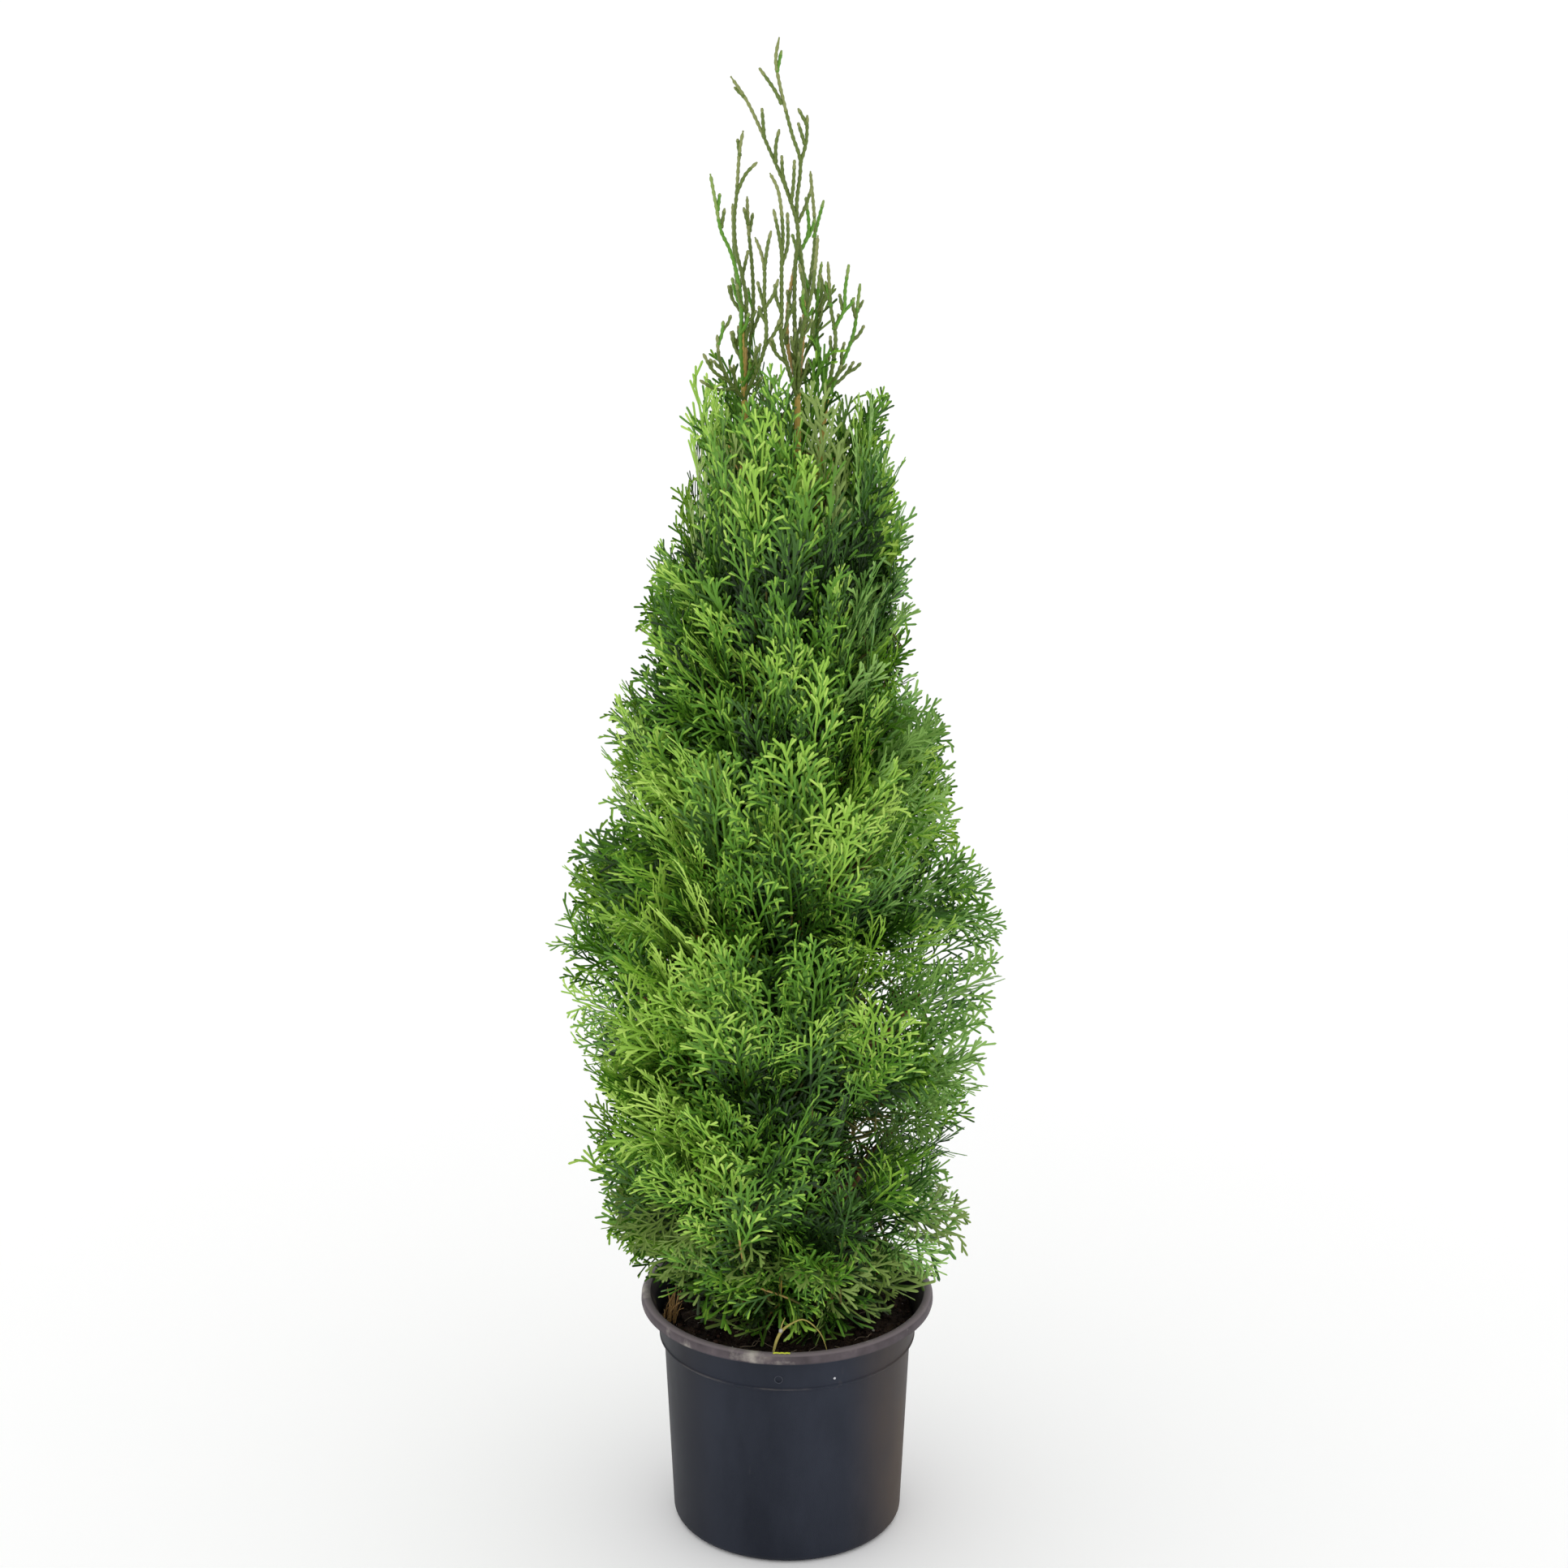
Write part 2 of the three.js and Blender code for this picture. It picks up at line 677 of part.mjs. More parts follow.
// Short side shoots, alternate along a limb.
function growLaterals(limb, plane, free) {
  const cones = [];
  const length = limb.curve.getLength();
  const count = Math.floor(length / LEADER.lateralStep);
  for (let i = 1; i <= count; i++) {
    const share = (i - 0.3) / count;
    const start = limb.curve.getPointAt(share);
    const tangent = limb.curve.getTangentAt(share);
    const axis = new THREE.Vector3(Math.cos(plane), Math.sin(plane), 0).cross(tangent).normalize();
    const side = i % 2 ? 1 : -1;
    const heading = tangent.applyAxisAngle(axis, radians(side * LEADER.lateralSpread));
    const reach = LEADER.lateral * lerp(1.1, 0.6, share);
    const end = start.clone().addScaledVector(heading, reach);
    if (free(end) && free(start.clone().lerp(end, 0.5))) {
      cones.push(coneSolid(start, end, LEADER.lateralRadius));
    }
  }
  return cones;
}

function growLeaders() {
  const limbs = LEADERS.map(leaderLimbs);
  const traces = limbs.map((own) => own.flatMap(({ curve }) => curve.getSpacedPoints(30)));
  const nearest = (trace, point) => Math.min(...trace.map((other) => other.distanceTo(point)));
  LEADERS.forEach(({ name }, index) => {
    const free = (point) => {
      const { radius, azimuth } = polar(point);
      const others = traces.filter((_, other) => other !== index);
      return (
        point.z > CROWN_TOP_CONE.base + CROWN_TOP_CONE.rise * radius + WALL_CLEAR &&
        radius < crownReach(point.z, azimuth) &&
        others.every((trace) => nearest(trace, point) > nearest(traces[index], point) + 2 * WALL_CLEAR)
      );
    };
    const pieces = limbs[index].flatMap((limb, order) => [
      limbSolid(limb),
      ...growLaterals(limb, radians(25 + order * GOLDEN_ANGLE), free),
    ]);
    addNode(`foliage_${name}`, wholeBody(wasm.Manifold.union(pieces)), "foliage");
  });
}

growStems();
addNode("pot", potSolid(), "pot");
addNode("soil", soilSolid(), "soil");
const plans = planMasses();
growBoughs(plans);
plans.forEach((plan, order) => growMass(plan, 11 + order));

growLeaders();

export default plant;
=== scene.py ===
"""A potted thuja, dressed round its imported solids.

The crown grows by the solids' own rule: storeys of masses, each with one stem and with fronds whose tips
are dealt evenly over its outer face. Here each frond goes on into fingers, branchlets and their forks.
Lengths are millimetres, as in the solids, and MM makes them Blender's metres.
"""

import json
import math

import bmesh
import bpy
import numpy as np
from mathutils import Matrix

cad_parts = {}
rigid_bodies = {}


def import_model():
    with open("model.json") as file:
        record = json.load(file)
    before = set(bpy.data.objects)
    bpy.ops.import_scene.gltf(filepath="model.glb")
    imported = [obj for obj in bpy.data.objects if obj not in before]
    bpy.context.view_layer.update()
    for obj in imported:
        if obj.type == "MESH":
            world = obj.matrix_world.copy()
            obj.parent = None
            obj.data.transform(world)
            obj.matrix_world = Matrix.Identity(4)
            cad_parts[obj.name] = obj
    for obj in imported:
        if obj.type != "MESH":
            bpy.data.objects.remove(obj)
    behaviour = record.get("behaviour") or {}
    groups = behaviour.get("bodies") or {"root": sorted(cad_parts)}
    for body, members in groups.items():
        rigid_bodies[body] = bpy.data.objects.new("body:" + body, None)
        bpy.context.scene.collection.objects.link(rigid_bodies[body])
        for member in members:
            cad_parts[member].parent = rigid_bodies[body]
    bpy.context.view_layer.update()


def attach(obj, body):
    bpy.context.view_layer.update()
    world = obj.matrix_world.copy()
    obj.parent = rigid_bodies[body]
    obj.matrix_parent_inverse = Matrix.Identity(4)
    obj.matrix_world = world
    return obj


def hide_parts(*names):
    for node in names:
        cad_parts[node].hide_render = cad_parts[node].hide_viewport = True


MM = 0.001
SEEDS = {"bark": 3, "fronds": 17, "leaders": 23, "compost": 5, "litter": 9}

# ---- The plant's named sizes, as in the solids ----

POT = {
    "height": 235,
    "rim": 140,
    "lip_width": 9.5,
    "lip_height": 10.5,
    "collar_height": 34,
    "collar_top": 127,
    "collar_foot": 122,
    "body_top": 118.2,
    "body_foot": 110.6,
    "foot_round": 9,
    "wall": 2.5,
    "floor": 3,
    "holes": 8,
    "hole_radius": 6,
    "hole_circle": 84,
}
LIP_FOOT = POT["height"] - POT["lip_height"]
COLLAR_FOOT = LIP_FOOT - POT["collar_height"]
BODY_TOP = COLLAR_FOOT - 3.5
COLLAR_SLOPE = (POT["collar_top"] - POT["collar_foot"]) / POT["collar_height"]
SOIL_TOP = POT["height"] - 25
SOIL_GAP = 0.4  # between the compost and the pot
SOIL_EDGE = POT["collar_foot"] - POT["wall"] - SOIL_GAP + COLLAR_SLOPE * (SOIL_TOP - 3 - COLLAR_FOOT)
SOIL_BUMPS = ((1.5, 14, 6), (1.0, 16, 2.4), (0.7, 18, 1.1))  # height, number of waves and size of each kind

STEMS = {
    "trunk": {
        "route": [
            *((-4, 0, 210.3), (-4, 0, 240), (2, 3, 340), (7, 2, 520)),
            *((2, 3, 700), (5, 2, 900), (9, 0, 1050), (9, 0, 1104)),
        ],
        "foot": 10.5,
        "tip": 2.6,
        "flare": 5,
    },
    "stem_left": {
        "route": [
            *((-4, 1, 222), (-22, 5, 248), (-40, 8, 290), (-45, 9, 340), (-29, 9, 467)),
            *((-43, 7, 540), (-38, 6, 800), (-36, 3, 1017), (-40, 0, 1162)),
        ],
        "foot": 6.6,
        "tip": 2.2,
        "flare": 0,
    },
    "stem_right": {
        "route": [
            *((-4, -1, 228), (18, -6, 254), (38, -9, 290), (46, -10, 335), (27, -9, 483)),
            *((33, -8, 620), (24, -6, 900), (28, -3, 1030), (36, 0, 1112)),
        ],
        "foot": 6,
        "tip": 2.2,
        "flare": 0,
    },
}
FLARE_HEIGHT = 16
LIMB_STEP = 4

# The crown's reach from its axis at each height: height, left, right, front and back.
AXIS_X = -2
CROWN = np.array(
    [
        (214, 70, 90, 90),
        (240, 130, 146, 112),
        (275, 172, 182, 130),
        (320, 200, 196, 160),
        (380, 218, 190, 178),
        (440, 206, 192, 184),
        (520, 226, 206, 198),
        (620, 222, 202, 192),
        (700, 192, 170, 170),
        (790, 170, 152, 152),
        (880, 138, 120, 126),
        (1000, 120, 114, 110),
        (1085, 92, 98, 90),
        (1160, 76, 70, 66),
        (1230, 62, 52, 46),
        (1300, 66, 30, 26),
        (1380, 52, 24, 20),
        (1412, 14, 6, 12),
    ],
    float,
)
CROWN_TOP = (1190, 0.0)  # where the top storey's last fronds end among the leading shoots

# Storeys: name, masses, azimuth of the first, the lower cone's height on the axis and its slope, whether a
# bough carries each mass, then a mass's fronds: how many, their shortest and longest, and their climb.
# Angles are in degrees.
STOREYS = [
    ("skirt", 6, 0, SOIL_TOP + 6, 0.0, True, 32, 60, 105, -8),
    ("lower", 5, 18, 282, 0.4, True, 52, 100, 165, 50),
    ("middle", 5, 54, 410, 0.55, True, 49, 110, 180, 57),
    ("upper", 4, 45, 550, 0.65, True, 62, 120, 185, 64),
    ("shoulder", 4, 0, 715, 0.8, False, 64, 110, 175, 71),
    ("neck", 3, 30, 890, 0.9, False, 80, 100, 165, 79),
]
BOUGH = {"start": 0.3, "end": 0.4, "climb": 0.27, "foot": 4.4, "tip": 2.6}
MASS_STEM = {"end": 0.64, "climb": 0.45, "foot": 3, "tip": 2}
FORK_RADIUS = 8
MIDDLE_RADIUS = 100
OUTER_RADIUS = 150
POT_REACH = 116  # sprays nearer the axis than this may hang into the pot
RIM_CLEAR = POT["height"] + 4
DEAL = (0.7549, 0.5698)  # steps that deal frond tips evenly over a mass's outer face

# A frond: a flat fan of fingers, each with branchlets to both sides and short forks on some of these.
FROND_LENGTHS = (70, 100, 135, 170)
FROND_KINDS = 4  # of each length
FROND = {
    "stalk": 0.14,  # the bare share of its axis
    "woody": 0.3,  # the share of it that is brown
    "stations": (12, 13),  # from one to the next on the axis and on fingers
    "shortest_finger": 13,
    "fork": 10,
    "forked_from": 11,  # branchlets shorter than this have none
    "forked": 0.3,  # the chance of each fork
    "fork_angle": 26,
    "fork_places": ((0.35, -1), (0.62, 1)),  # along the branchlet, and to which side
    "keel": 0.62,  # how far the middle of each strip stands up, as a share of half its width
    "blunt": 0.6,  # of its width, by which a tip is drawn in
}
# How fronds are set on their twigs.
SETTING = {
    "steepest": 86,
    "bearings": 0.3,  # how far bearings vary, in radians
    "climbs": 10,
    "facing_lift": 0.5,  # fronds face outwards and this much up
    "facing": 0.66,  # the share of fronds that face outwards; the others stand edge on
    "turns": (28, 30),  # how far each of these kinds varies
    "bow": (-0.03, 0.12),
    "cup": (-0.15, 0.15),
}
# Habits of fronds: the longest finger as a share of the frond's length, the fingers' angle and the step
# from one to the next, the longest branchlet, its spread and the gap to the next, and the width of all.
HABIT_FIELDS = ("finger", "angle", "step", "branchlet", "spread", "gap", "width")
HABITS = {
    "fan": dict(zip(HABIT_FIELDS, (0.45, 39, 12, 24, 35, 6.2, 2.35))),
    "flame": dict(zip(HABIT_FIELDS, (0.35, 25, 13, 23, 26, 6.6, 2.2))),
    "star": dict(zip(HABIT_FIELDS, (0.5, 44, 14, 33, 34, 9.5, 2.9))),
}
FLAME_ABOVE = 560  # from this height up more and more fronds are flames
TIP_SHARE = 0.955  # of the reach, where the outermost fronds end
DEPTHS = (1.0, 0.9, 0.97, 0.74, 1.0, 0.84, 0.58)  # shares of that at which fronds end, in turn
OVERLAP = 0.16  # of a storey's height, by which fronds mix with those of its neighbours
SIDE_SPREAD = 34  # degrees by which a frond at the crown's left or right climbs less than one in front
TWIG_RADII = (1.35, 1.05)
TWIG_ROOTS = 0.92  # the share of a mass's stem that twigs leave from
TWIG_BEND = (26.0, 0.45)  # mm from a frond's base at most, or this share of the twig
# What fills the right flank near the stems, all of one length and at one depth in the crown, which paints
# them in shade.
INNER_FRONDS = {"count": 14, "reach": 46, "length": 100, "depth": 0.5, "climb": 68}
TOP_THINNED = 0.98  # the share of fronds left out at the very top, where shoots stand free
DRY_SHARE = 0.04  # of the inner fronds, browned up to their fingers
OPEN_SHARES = (0.74, 0.25)  # of fronds left out at the right and the left flank, to let the sky through
OPEN_HEIGHTS = (250, 330, 660, 820)  # that starts and is full, then fades and ends at these
EDGE_OVER = 1.03  # the crown's furthest branchlets, as a share of its reach
LIMB_CLEAR = 1.5  # from a frond to a limb

# Creases between the outermost sprays: height, half height, and the share of the reach lost left and right.
CREASES = (
    (1040, 18, 0.34, 0.0),
    (985, 20, 0.1, 0.0),
    (874, 12, 0.0, 0.07),
    (750, 17, 0.13, 0.05),
    (686, 24, 0.04, 0.09),
    (618, 30, 0.08, 0.0),
    (521, 11, 0.2, 0.0),
    (448, 20, 0.18, 0.08),
    (432, 12, 0.0, 0.08),
    (338, 14, 0.2, 0.12),
    (308, 10, 0.06, 0.1),
    (286, 16, 0.14, 0.0),
)
# Sprays that stand out at the crown's left and right edges, those that hang over the compost in front, and
# those that climb across the front where two storeys meet:
# tip x, y and height, length, and climb in degrees.
MARKED_SPRAYS = (
    (-99, 0, 1016, 120, 74),
    (-103, 0, 1002, 130, 70),
    (-102, 0, 968, 120, 66),
    (-112, 0, 938, 120, 62),
    (-120, 0, 912, 120, 60),
    (-125, 0, 866, 115, 52),
    (-150, 0, 822, 120, 48),
    (-153, 0, 786, 110, 42),
    (-157, 0, 706, 110, 36),
    (-182, 0, 676, 125, 32),
    (-203, 0, 545, 120, 14),
    (-193, 0, 497, 105, 6),
    (-178, 0, 472, 100, -2),
    (-183, 0, 396, 120, 24),
    (-188, 0, 362, 110, 16),
    (-158, 0, 314, 95, 8),
    (84, 0, 1096, 120, 78),
    (92, 0, 1034, 130, 74),
    (101, 0, 996, 120, 70),
    (98, 0, 960, 120, 68),
    (116, 0, 910, 70, 38),
    (108, 0, 893, 110, 60),
    (130, 0, 772, 115, 52),
    (138, 0, 738, 110, 46),
    (170, 0, 648, 120, 36),
    (177, 0, 628, 110, 26),
    (184, 0, 546, 110, 16),
    (175, 0, 478, 110, 8),
    (160, 0, 410, 105, 20),
    (158, 0, 320, 95, 6),
    (158, 0, 284, 80, -6),
    (-31, -104, 226, 75, -28),
    (54, -98, 232, 75, -25),
    (76, -90, 237, 70, -22),
    (-70, -82, 240, 75, -20),
    (3, -100, 262, 80, -15),
    (103, -60, 246, 70, -20),
    (20, -106, 240, 70, -24),
    (-118, -126, 678, 130, 62),
    (-88, -143, 694, 135, 64),
    (-62, -166, 642, 130, 62),
    (-32, -160, 700, 135, 66),
    (-6, -173, 642, 120, 66),
    (42, -168, 634, 115, 64),
)
# Hollows in the front, where fronds end further in and are painted in shade: x, height, half width, half
# height.
HOLLOWS = ((-38, 930, 24, 60), (-14, 700, 30, 38), (60, 540, 22, 26), (-60, 330, 20, 26))
# Lit and shaded flanks of the front, in the same way, with the rungs they add to a frond's tone.
FLANKS = (
    (-115, 520, 60, 160, 1.6),
    (20, 810, 42, 90, 0.7),
    (-85, 850, 40, 120, 0.5),
    (145, 500, 42, 130, 1.3),
    (110, 330, 60, 90, 0.9),
    (25, 440, 55, 190, -0.8),
    (112, 770, 42, 150, 1.4),
    (-100, 680, 60, 60, 0.9),
    (30, 960, 60, 60, -0.5),
    (-10, 1080, 90, 60, -0.2),
)


def smoothstep(low, high, x):
    t = np.clip((x - low) / (high - low), 0, 1)
    return t * t * (3 - 2 * t)


def lerp(a, b, t):
    return a + (b - a) * t


def unit(v):
    v = np.asarray(v, float)
    return v / np.maximum(np.linalg.norm(v, axis=-1, keepdims=True), 1e-9)


def heading_at(angle, lift=0.0):
    """An arrow of length 1 over the plane, and lifted as much as said."""
    return np.array([math.cos(angle), math.sin(angle), lift])


def turned_about(v, axis, angle):
    """v turned about a unit axis, in radians."""
    return (
        v * math.cos(angle)
        + np.cross(axis, v) * math.sin(angle)
        + axis * np.dot(axis, v) * (1 - math.cos(angle))
    )


# ---- Curves, tubes and meshes ----


def distances(points):
    """How far along a route each of its points lies."""
    return np.concatenate([[0], np.cumsum(np.linalg.norm(np.diff(points, axis=0), axis=1))])


def shares_along(points):
    lengths = distances(points)
    return lengths / lengths[-1]


def along(points, shares, share):
    """The place, or the places as columns, at a share of a route's length, or at another measure of it."""
    return np.array([np.interp(share, shares, points[:, k]) for k in range(3)])


def smooth_route(points, step):
    """Points about every step along a centripetal Catmull-Rom curve through the given ones."""
    p = np.asarray(points, float)
    p = np.vstack([2 * p[0] - p[1], p, 2 * p[-1] - p[-2]])
    dense = []
    for a, b, c, d in zip(p, p[1:], p[2:], p[3:]):
        knots = np.cumsum([0, *(math.sqrt(np.linalg.norm(v)) for v in (b - a, c - b, d - c))])
        t = np.linspace(knots[1], knots[2], 24, endpoint=False)[:, None]

        def blend(u, v, i, j):
            return (knots[j] - t) / (knots[j] - knots[i]) * u + (t - knots[i]) / (knots[j] - knots[i]) * v

        ab, bc, cd = blend(a, b, 0, 1), blend(b, c, 1, 2), blend(c, d, 2, 3)
        dense.append(blend(blend(ab, bc, 0, 2), blend(bc, cd, 1, 3), 1, 2))
    dense = np.vstack([*dense, p[-2:-1]])
    lengths = distances(dense)
    count = max(2, int(round(lengths[-1] / step)))
    return along(dense, lengths, np.linspace(0, lengths[-1], count + 1)).T


def ring_faces(count, sides, ends=True):
    """Triangles between rings of points, and fans to a foot and a head point that follow the rings."""
    i, j = np.meshgrid(np.arange(count - 1), np.arange(sides), indexing="ij")
    a, b = i * sides + j, i * sides + (j + 1) % sides
    c, d = b + sides, a + sides
    faces = np.concatenate([np.stack([a, b, c], -1), np.stack([a, c, d], -1)]).reshape(-1, 3)
    if not ends:
        return faces
    ring = np.arange(sides)
    following = (ring + 1) % sides
    last = (count - 1) * sides
    foot = np.stack([following, ring, np.full(sides, count * sides)], -1)
    head = np.stack([last + ring, last + following, np.full(sides, count * sides + 1)], -1)
    return np.vstack([faces, foot, head])


def tube(points, radii, sides, ends=True):
    """Points and triangles of a tube of one radius, one a station, or one for each side of each station."""
    points = np.asarray(points, float)
    count = len(points)
    radii = np.atleast_1d(radii).astype(float)
    radii = radii.reshape(len(radii), -1) * np.ones((count, sides))
    tangents = unit(np.gradient(points, axis=0))
    aside = unit(np.cross(tangents[0], [0.3, 0.9, 0.1]))
    rings = []
    for i in range(count):
        aside = unit(aside - tangents[i] * np.dot(aside, tangents[i]))
        other = np.cross(tangents[i], aside)
        angle = np.arange(sides) * 2 * math.pi / sides
        ring = np.cos(angle)[:, None] * aside + np.sin(angle)[:, None] * other
        rings.append(points[i] + ring * radii[i][:, None])
    return np.vstack([*rings, points[:1], points[-1:]]), ring_faces(count, sides, ends)


def linked(name, data):
    """A new object in the scene."""
    made = bpy.data.objects.new(name, data)
    bpy.context.scene.collection.objects.link(made)
    return made


class Joined:
    """Gathers points and triangles, each with a material slot, for one mesh."""

    def __init__(self):
        self.points, self.faces, self.slots, self.count = [], [], [], 0

    def add(self, points, faces, slot=0):
        self.points.append(points)
        self.faces.append(faces + self.count)
        self.slots.append(np.broadcast_to(slot, len(faces)))
        self.count += len(points)

    def tube(self, points, radii, sides, slot=0, ends=True):
        self.add(*tube(points, radii, sides, ends), slot)

    def build(self, name, materials):
        """One object of all that was gathered, from millimetres."""
        points, faces = np.vstack(self.points) * MM, np.vstack(self.faces).astype(np.int32)
        mesh = bpy.data.meshes.new(name)
        mesh.vertices.add(len(points))
        mesh.vertices.foreach_set("co", points.astype(np.float32).ravel())
        mesh.loops.add(faces.size)
        mesh.loops.foreach_set("vertex_index", faces.ravel())
        mesh.polygons.add(len(faces))
        mesh.polygons.foreach_set("loop_start", np.arange(0, faces.size, 3, dtype=np.int32))
        for material in materials:
            mesh.materials.append(material)
        slots = np.concatenate(self.slots).astype(np.int32)
        mesh.polygons.foreach_set("material_index", slots)
        mesh.update(calc_edges=True)
        return linked(name, mesh)


# ---- Materials ----


def linear(red, green, blue):
    """A colour given in screen values from 0 to 255, as Blender's linear ones."""
    shares = (c / 255 for c in (red, green, blue))
    return (*(c / 12.92 if c <= 0.04045 else ((c + 0.055) / 1.055) ** 2.4 for c in shares), 1.0)


class Finish:
    """A node material built up line by line."""

    def __init__(self, name, colour, roughness, specular):
        self.material = bpy.data.materials.new(name)
        self.material.use_nodes = True
        self.nodes = self.material.node_tree.nodes
        self.links = self.material.node_tree.links
        self.shader = self.nodes["Principled BSDF"]
        self.shader.inputs["Base Color"].default_value = colour
        self.shader.inputs["Roughness"].default_value = roughness
        self.shader.inputs["Specular IOR Level"].default_value = specular
        self.place = self.nodes.new("ShaderNodeTexCoord").outputs["Object"]

    def node(self, kind, **values):
        """A new node with numbers or colours set on its sockets, an underscore in a name for each space."""
        made = self.nodes.new(f"ShaderNode{kind}")
        for name, value in values.items():
            made.inputs[name.replace("_", " ")].default_value = value
        return made

    def noise(self, scale, detail, stretch=(1, 1, 1)):
        mapping = self.node("Mapping", Scale=stretch)
        self.links.new(self.place, mapping.inputs["Vector"])
        node = self.node("TexNoise", Scale=scale, Detail=detail, Roughness=0.55)
        self.links.new(mapping.outputs["Vector"], node.inputs["Vector"])
        return node.outputs["Fac"]

    def cells(self, scale):
        node = self.node("TexVoronoi", Scale=scale)
        self.links.new(self.place, node.inputs["Vector"])
        return node.outputs["Distance"]

    def ramp(self, value, *stops):
        """value turned into a colour or grey by (place, colour) stops."""
        node = self.node("ValToRGB")
        self.links.new(value, node.inputs["Fac"])
        elements = node.color_ramp.elements
        while len(elements) < len(stops):
            elements.new(0.5)
        for element, (place, colour) in zip(elements, stops):
            element.position = place
            element.color = colour if hasattr(colour, "__len__") else (colour, colour, colour, 1)
        return node.outputs["Color"]

    def mix(self, share, a, b):
        node = self.node("Mix")
        node.data_type = "RGBA"
        for name, value in (("Factor", share), ("A", a), ("B", b)):
            self.feed(node.inputs[name], value)
        return node.outputs["Result"]

    def feed(self, socket, value):
        """Links a socket to another node's, or sets its own number or colour."""
        if isinstance(value, bpy.types.NodeSocket):
            self.links.new(value, socket)
        elif isinstance(value, float) and socket.type == "RGBA":
            socket.default_value = (value, value, value, 1)
        else:
            socket.default_value = value

    def colour(self, value):
        self.links.new(value, self.shader.inputs["Base Color"])

    def rough(self, value):
        self.links.new(value, self.shader.inputs["Roughness"])

    def bump(self, height, distance, strength):
        node = self.node("Bump", Strength=strength, Distance=distance)
        self.links.new(height, node.inputs["Height"])
        before = self.shader.inputs["Normal"]
        if before.is_linked:
            self.links.new(before.links[0].from_socket, node.inputs["Normal"])
        self.links.new(node.outputs["Normal"], before)

    def along(self, axis, low, high):
        """From 0 at one place along an axis of the object to 1 at another, in metres."""
        split = self.node("SeparateXYZ")
        self.links.new(self.place, split.inputs[0])
        node = self.node("MapRange", From_Min=low, From_Max=high)
        node.interpolation_type = "SMOOTHSTEP"
        self.links.new(split.outputs[axis], node.inputs["Value"])
        return node.outputs["Result"]


# Leaf colours as screen values, each ladder one green in rungs of painted shade and painted light, from
# shaded wood to lit tip, its lighter rungs also the yellower green of fresh growth. A frond takes one
# ladder, and starts on one rung of it.
TONES = {
    "twig": (176, 146, 80),
    "warm_0": (24, 52, 8),
    "warm_1": (52, 94, 18),
    "warm_2": (92, 144, 36),
    "warm_3": (146, 192, 66),
    "warm_4": (178, 214, 94),
    "cool_0": (30, 60, 16),
    "cool_1": (66, 112, 40),
    "cool_2": (108, 158, 66),
    "cool_3": (146, 188, 96),
    "dull_0": (38, 58, 18),
    "dull_1": (80, 110, 40),
    "dull_2": (132, 158, 78),
    "olive_0": (98, 118, 48),
    "olive_1": (134, 144, 84),
    "dry_0": (128, 84, 42),
    "dry_1": (190, 150, 74),
}
TONE_NAMES = list(TONES)
LADDERS = {
    kind: [i for i, name in enumerate(TONE_NAMES) if name.startswith(kind)]
    for kind in ("warm", "cool", "dull", "olive", "dry")
}
TWIG = TONE_NAMES.index("twig")


def leaf_material(name, colour):
    finish = Finish(f"leaf_{name}", linear(*colour), 0.48, 0.4)
    finish.bump(finish.noise(900, 2.0), 0.0006, 0.6)
    return finish.material


def bark_material():
    finish = Finish("bark", linear(104, 66, 46), 0.85, 0.25)
    strings = finish.noise(60, 6, (1, 1, 0.12))
    lichen = finish.noise(25, 3)
    shades = ((0.3, linear(58, 34, 26)), (0.52, linear(112, 66, 46)), (0.75, linear(150, 108, 78)))
    brown = finish.ramp(strings, *shades)
    young = finish.ramp(strings, (0.3, linear(168, 134, 62)), (0.7, linear(216, 186, 106)))
    aged = finish.mix(finish.along("Z", 0.75, 1.02), brown, young)
    finish.colour(finish.mix(finish.ramp(lichen, (0.6, 0.0), (0.75, 0.5)), aged, linear(96, 92, 70)))
    finish.bump(strings, 0.0025, 0.9)
    return finish.material


def pot_material():
    """Charcoal plastic with painted reflections down its two sides, brown on the right and dark brown on
    the left, worn pale along the step under its collar, and grey with chalk on its lip."""
    step_at, lip_at, top = COLLAR_FOOT * MM, LIP_FOOT * MM, POT["height"] * MM
    finish = Finish("pot_plastic", linear(32, 36, 45), 0.6, 0.12)
    smear = finish.noise(11, 5, (1, 1, 0.4))
    scuff = finish.noise(60, 6, (1, 1, 0.3))
    body = finish.ramp(smear, (0.36, linear(30, 34, 44)), (0.66, linear(46, 50, 61)))
    # Painted reflections down the pot's two sides: brown on the right, dark brown on the left, broken up by
    # the smears.
    for low, high, side_reflection in ((0.05, 0.12, linear(80, 68, 58)), (-0.06, -0.122, linear(30, 26, 26))):
        side = finish.mix(finish.along("X", low, high), body, side_reflection)
        body = finish.mix(finish.ramp(smear, (0.36, 0.25), (0.62, 0.9)), body, side)
    body = finish.mix(finish.ramp(scuff, (0.7, 0.0), (0.8, 0.25)), body, linear(96, 90, 86))
    below = finish.along("Z", step_at - 0.0017, step_at - 0.0007)
    step = finish.mix(finish.along("Z", step_at + 0.0017, step_at + 0.0007), 0.0, below)
    worn = finish.mix(step, 0.0, finish.ramp(finish.noise(18, 5), (0.46, 0.0), (0.64, 0.4)))
    body = finish.mix(worn, body, linear(120, 114, 110))
    greys = ((0.3, linear(70, 64, 67)), (0.55, linear(92, 84, 88)), (0.8, linear(134, 124, 118)))
    lip = finish.ramp(finish.noise(34, 6), *greys)
    lip = finish.mix(finish.along("Z", top - 0.0025, top - 0.0008), lip, linear(116, 107, 110))
    chalk = finish.ramp(finish.noise(26, 7), (0.56, 0.0), (0.68, 0.75))
    lip = finish.mix(chalk, lip, linear(186, 180, 170))
    finish.colour(finish.mix(finish.along("Z", lip_at - 0.001, lip_at + 0.003), body, lip))
    finish.rough(finish.ramp(smear, (0.3, 0.44), (0.7, 0.62)))
    finish.bump(finish.noise(1400, 2), 0.0003, 0.35)
    finish.bump(smear, 0.002, 0.15)
    return finish.material


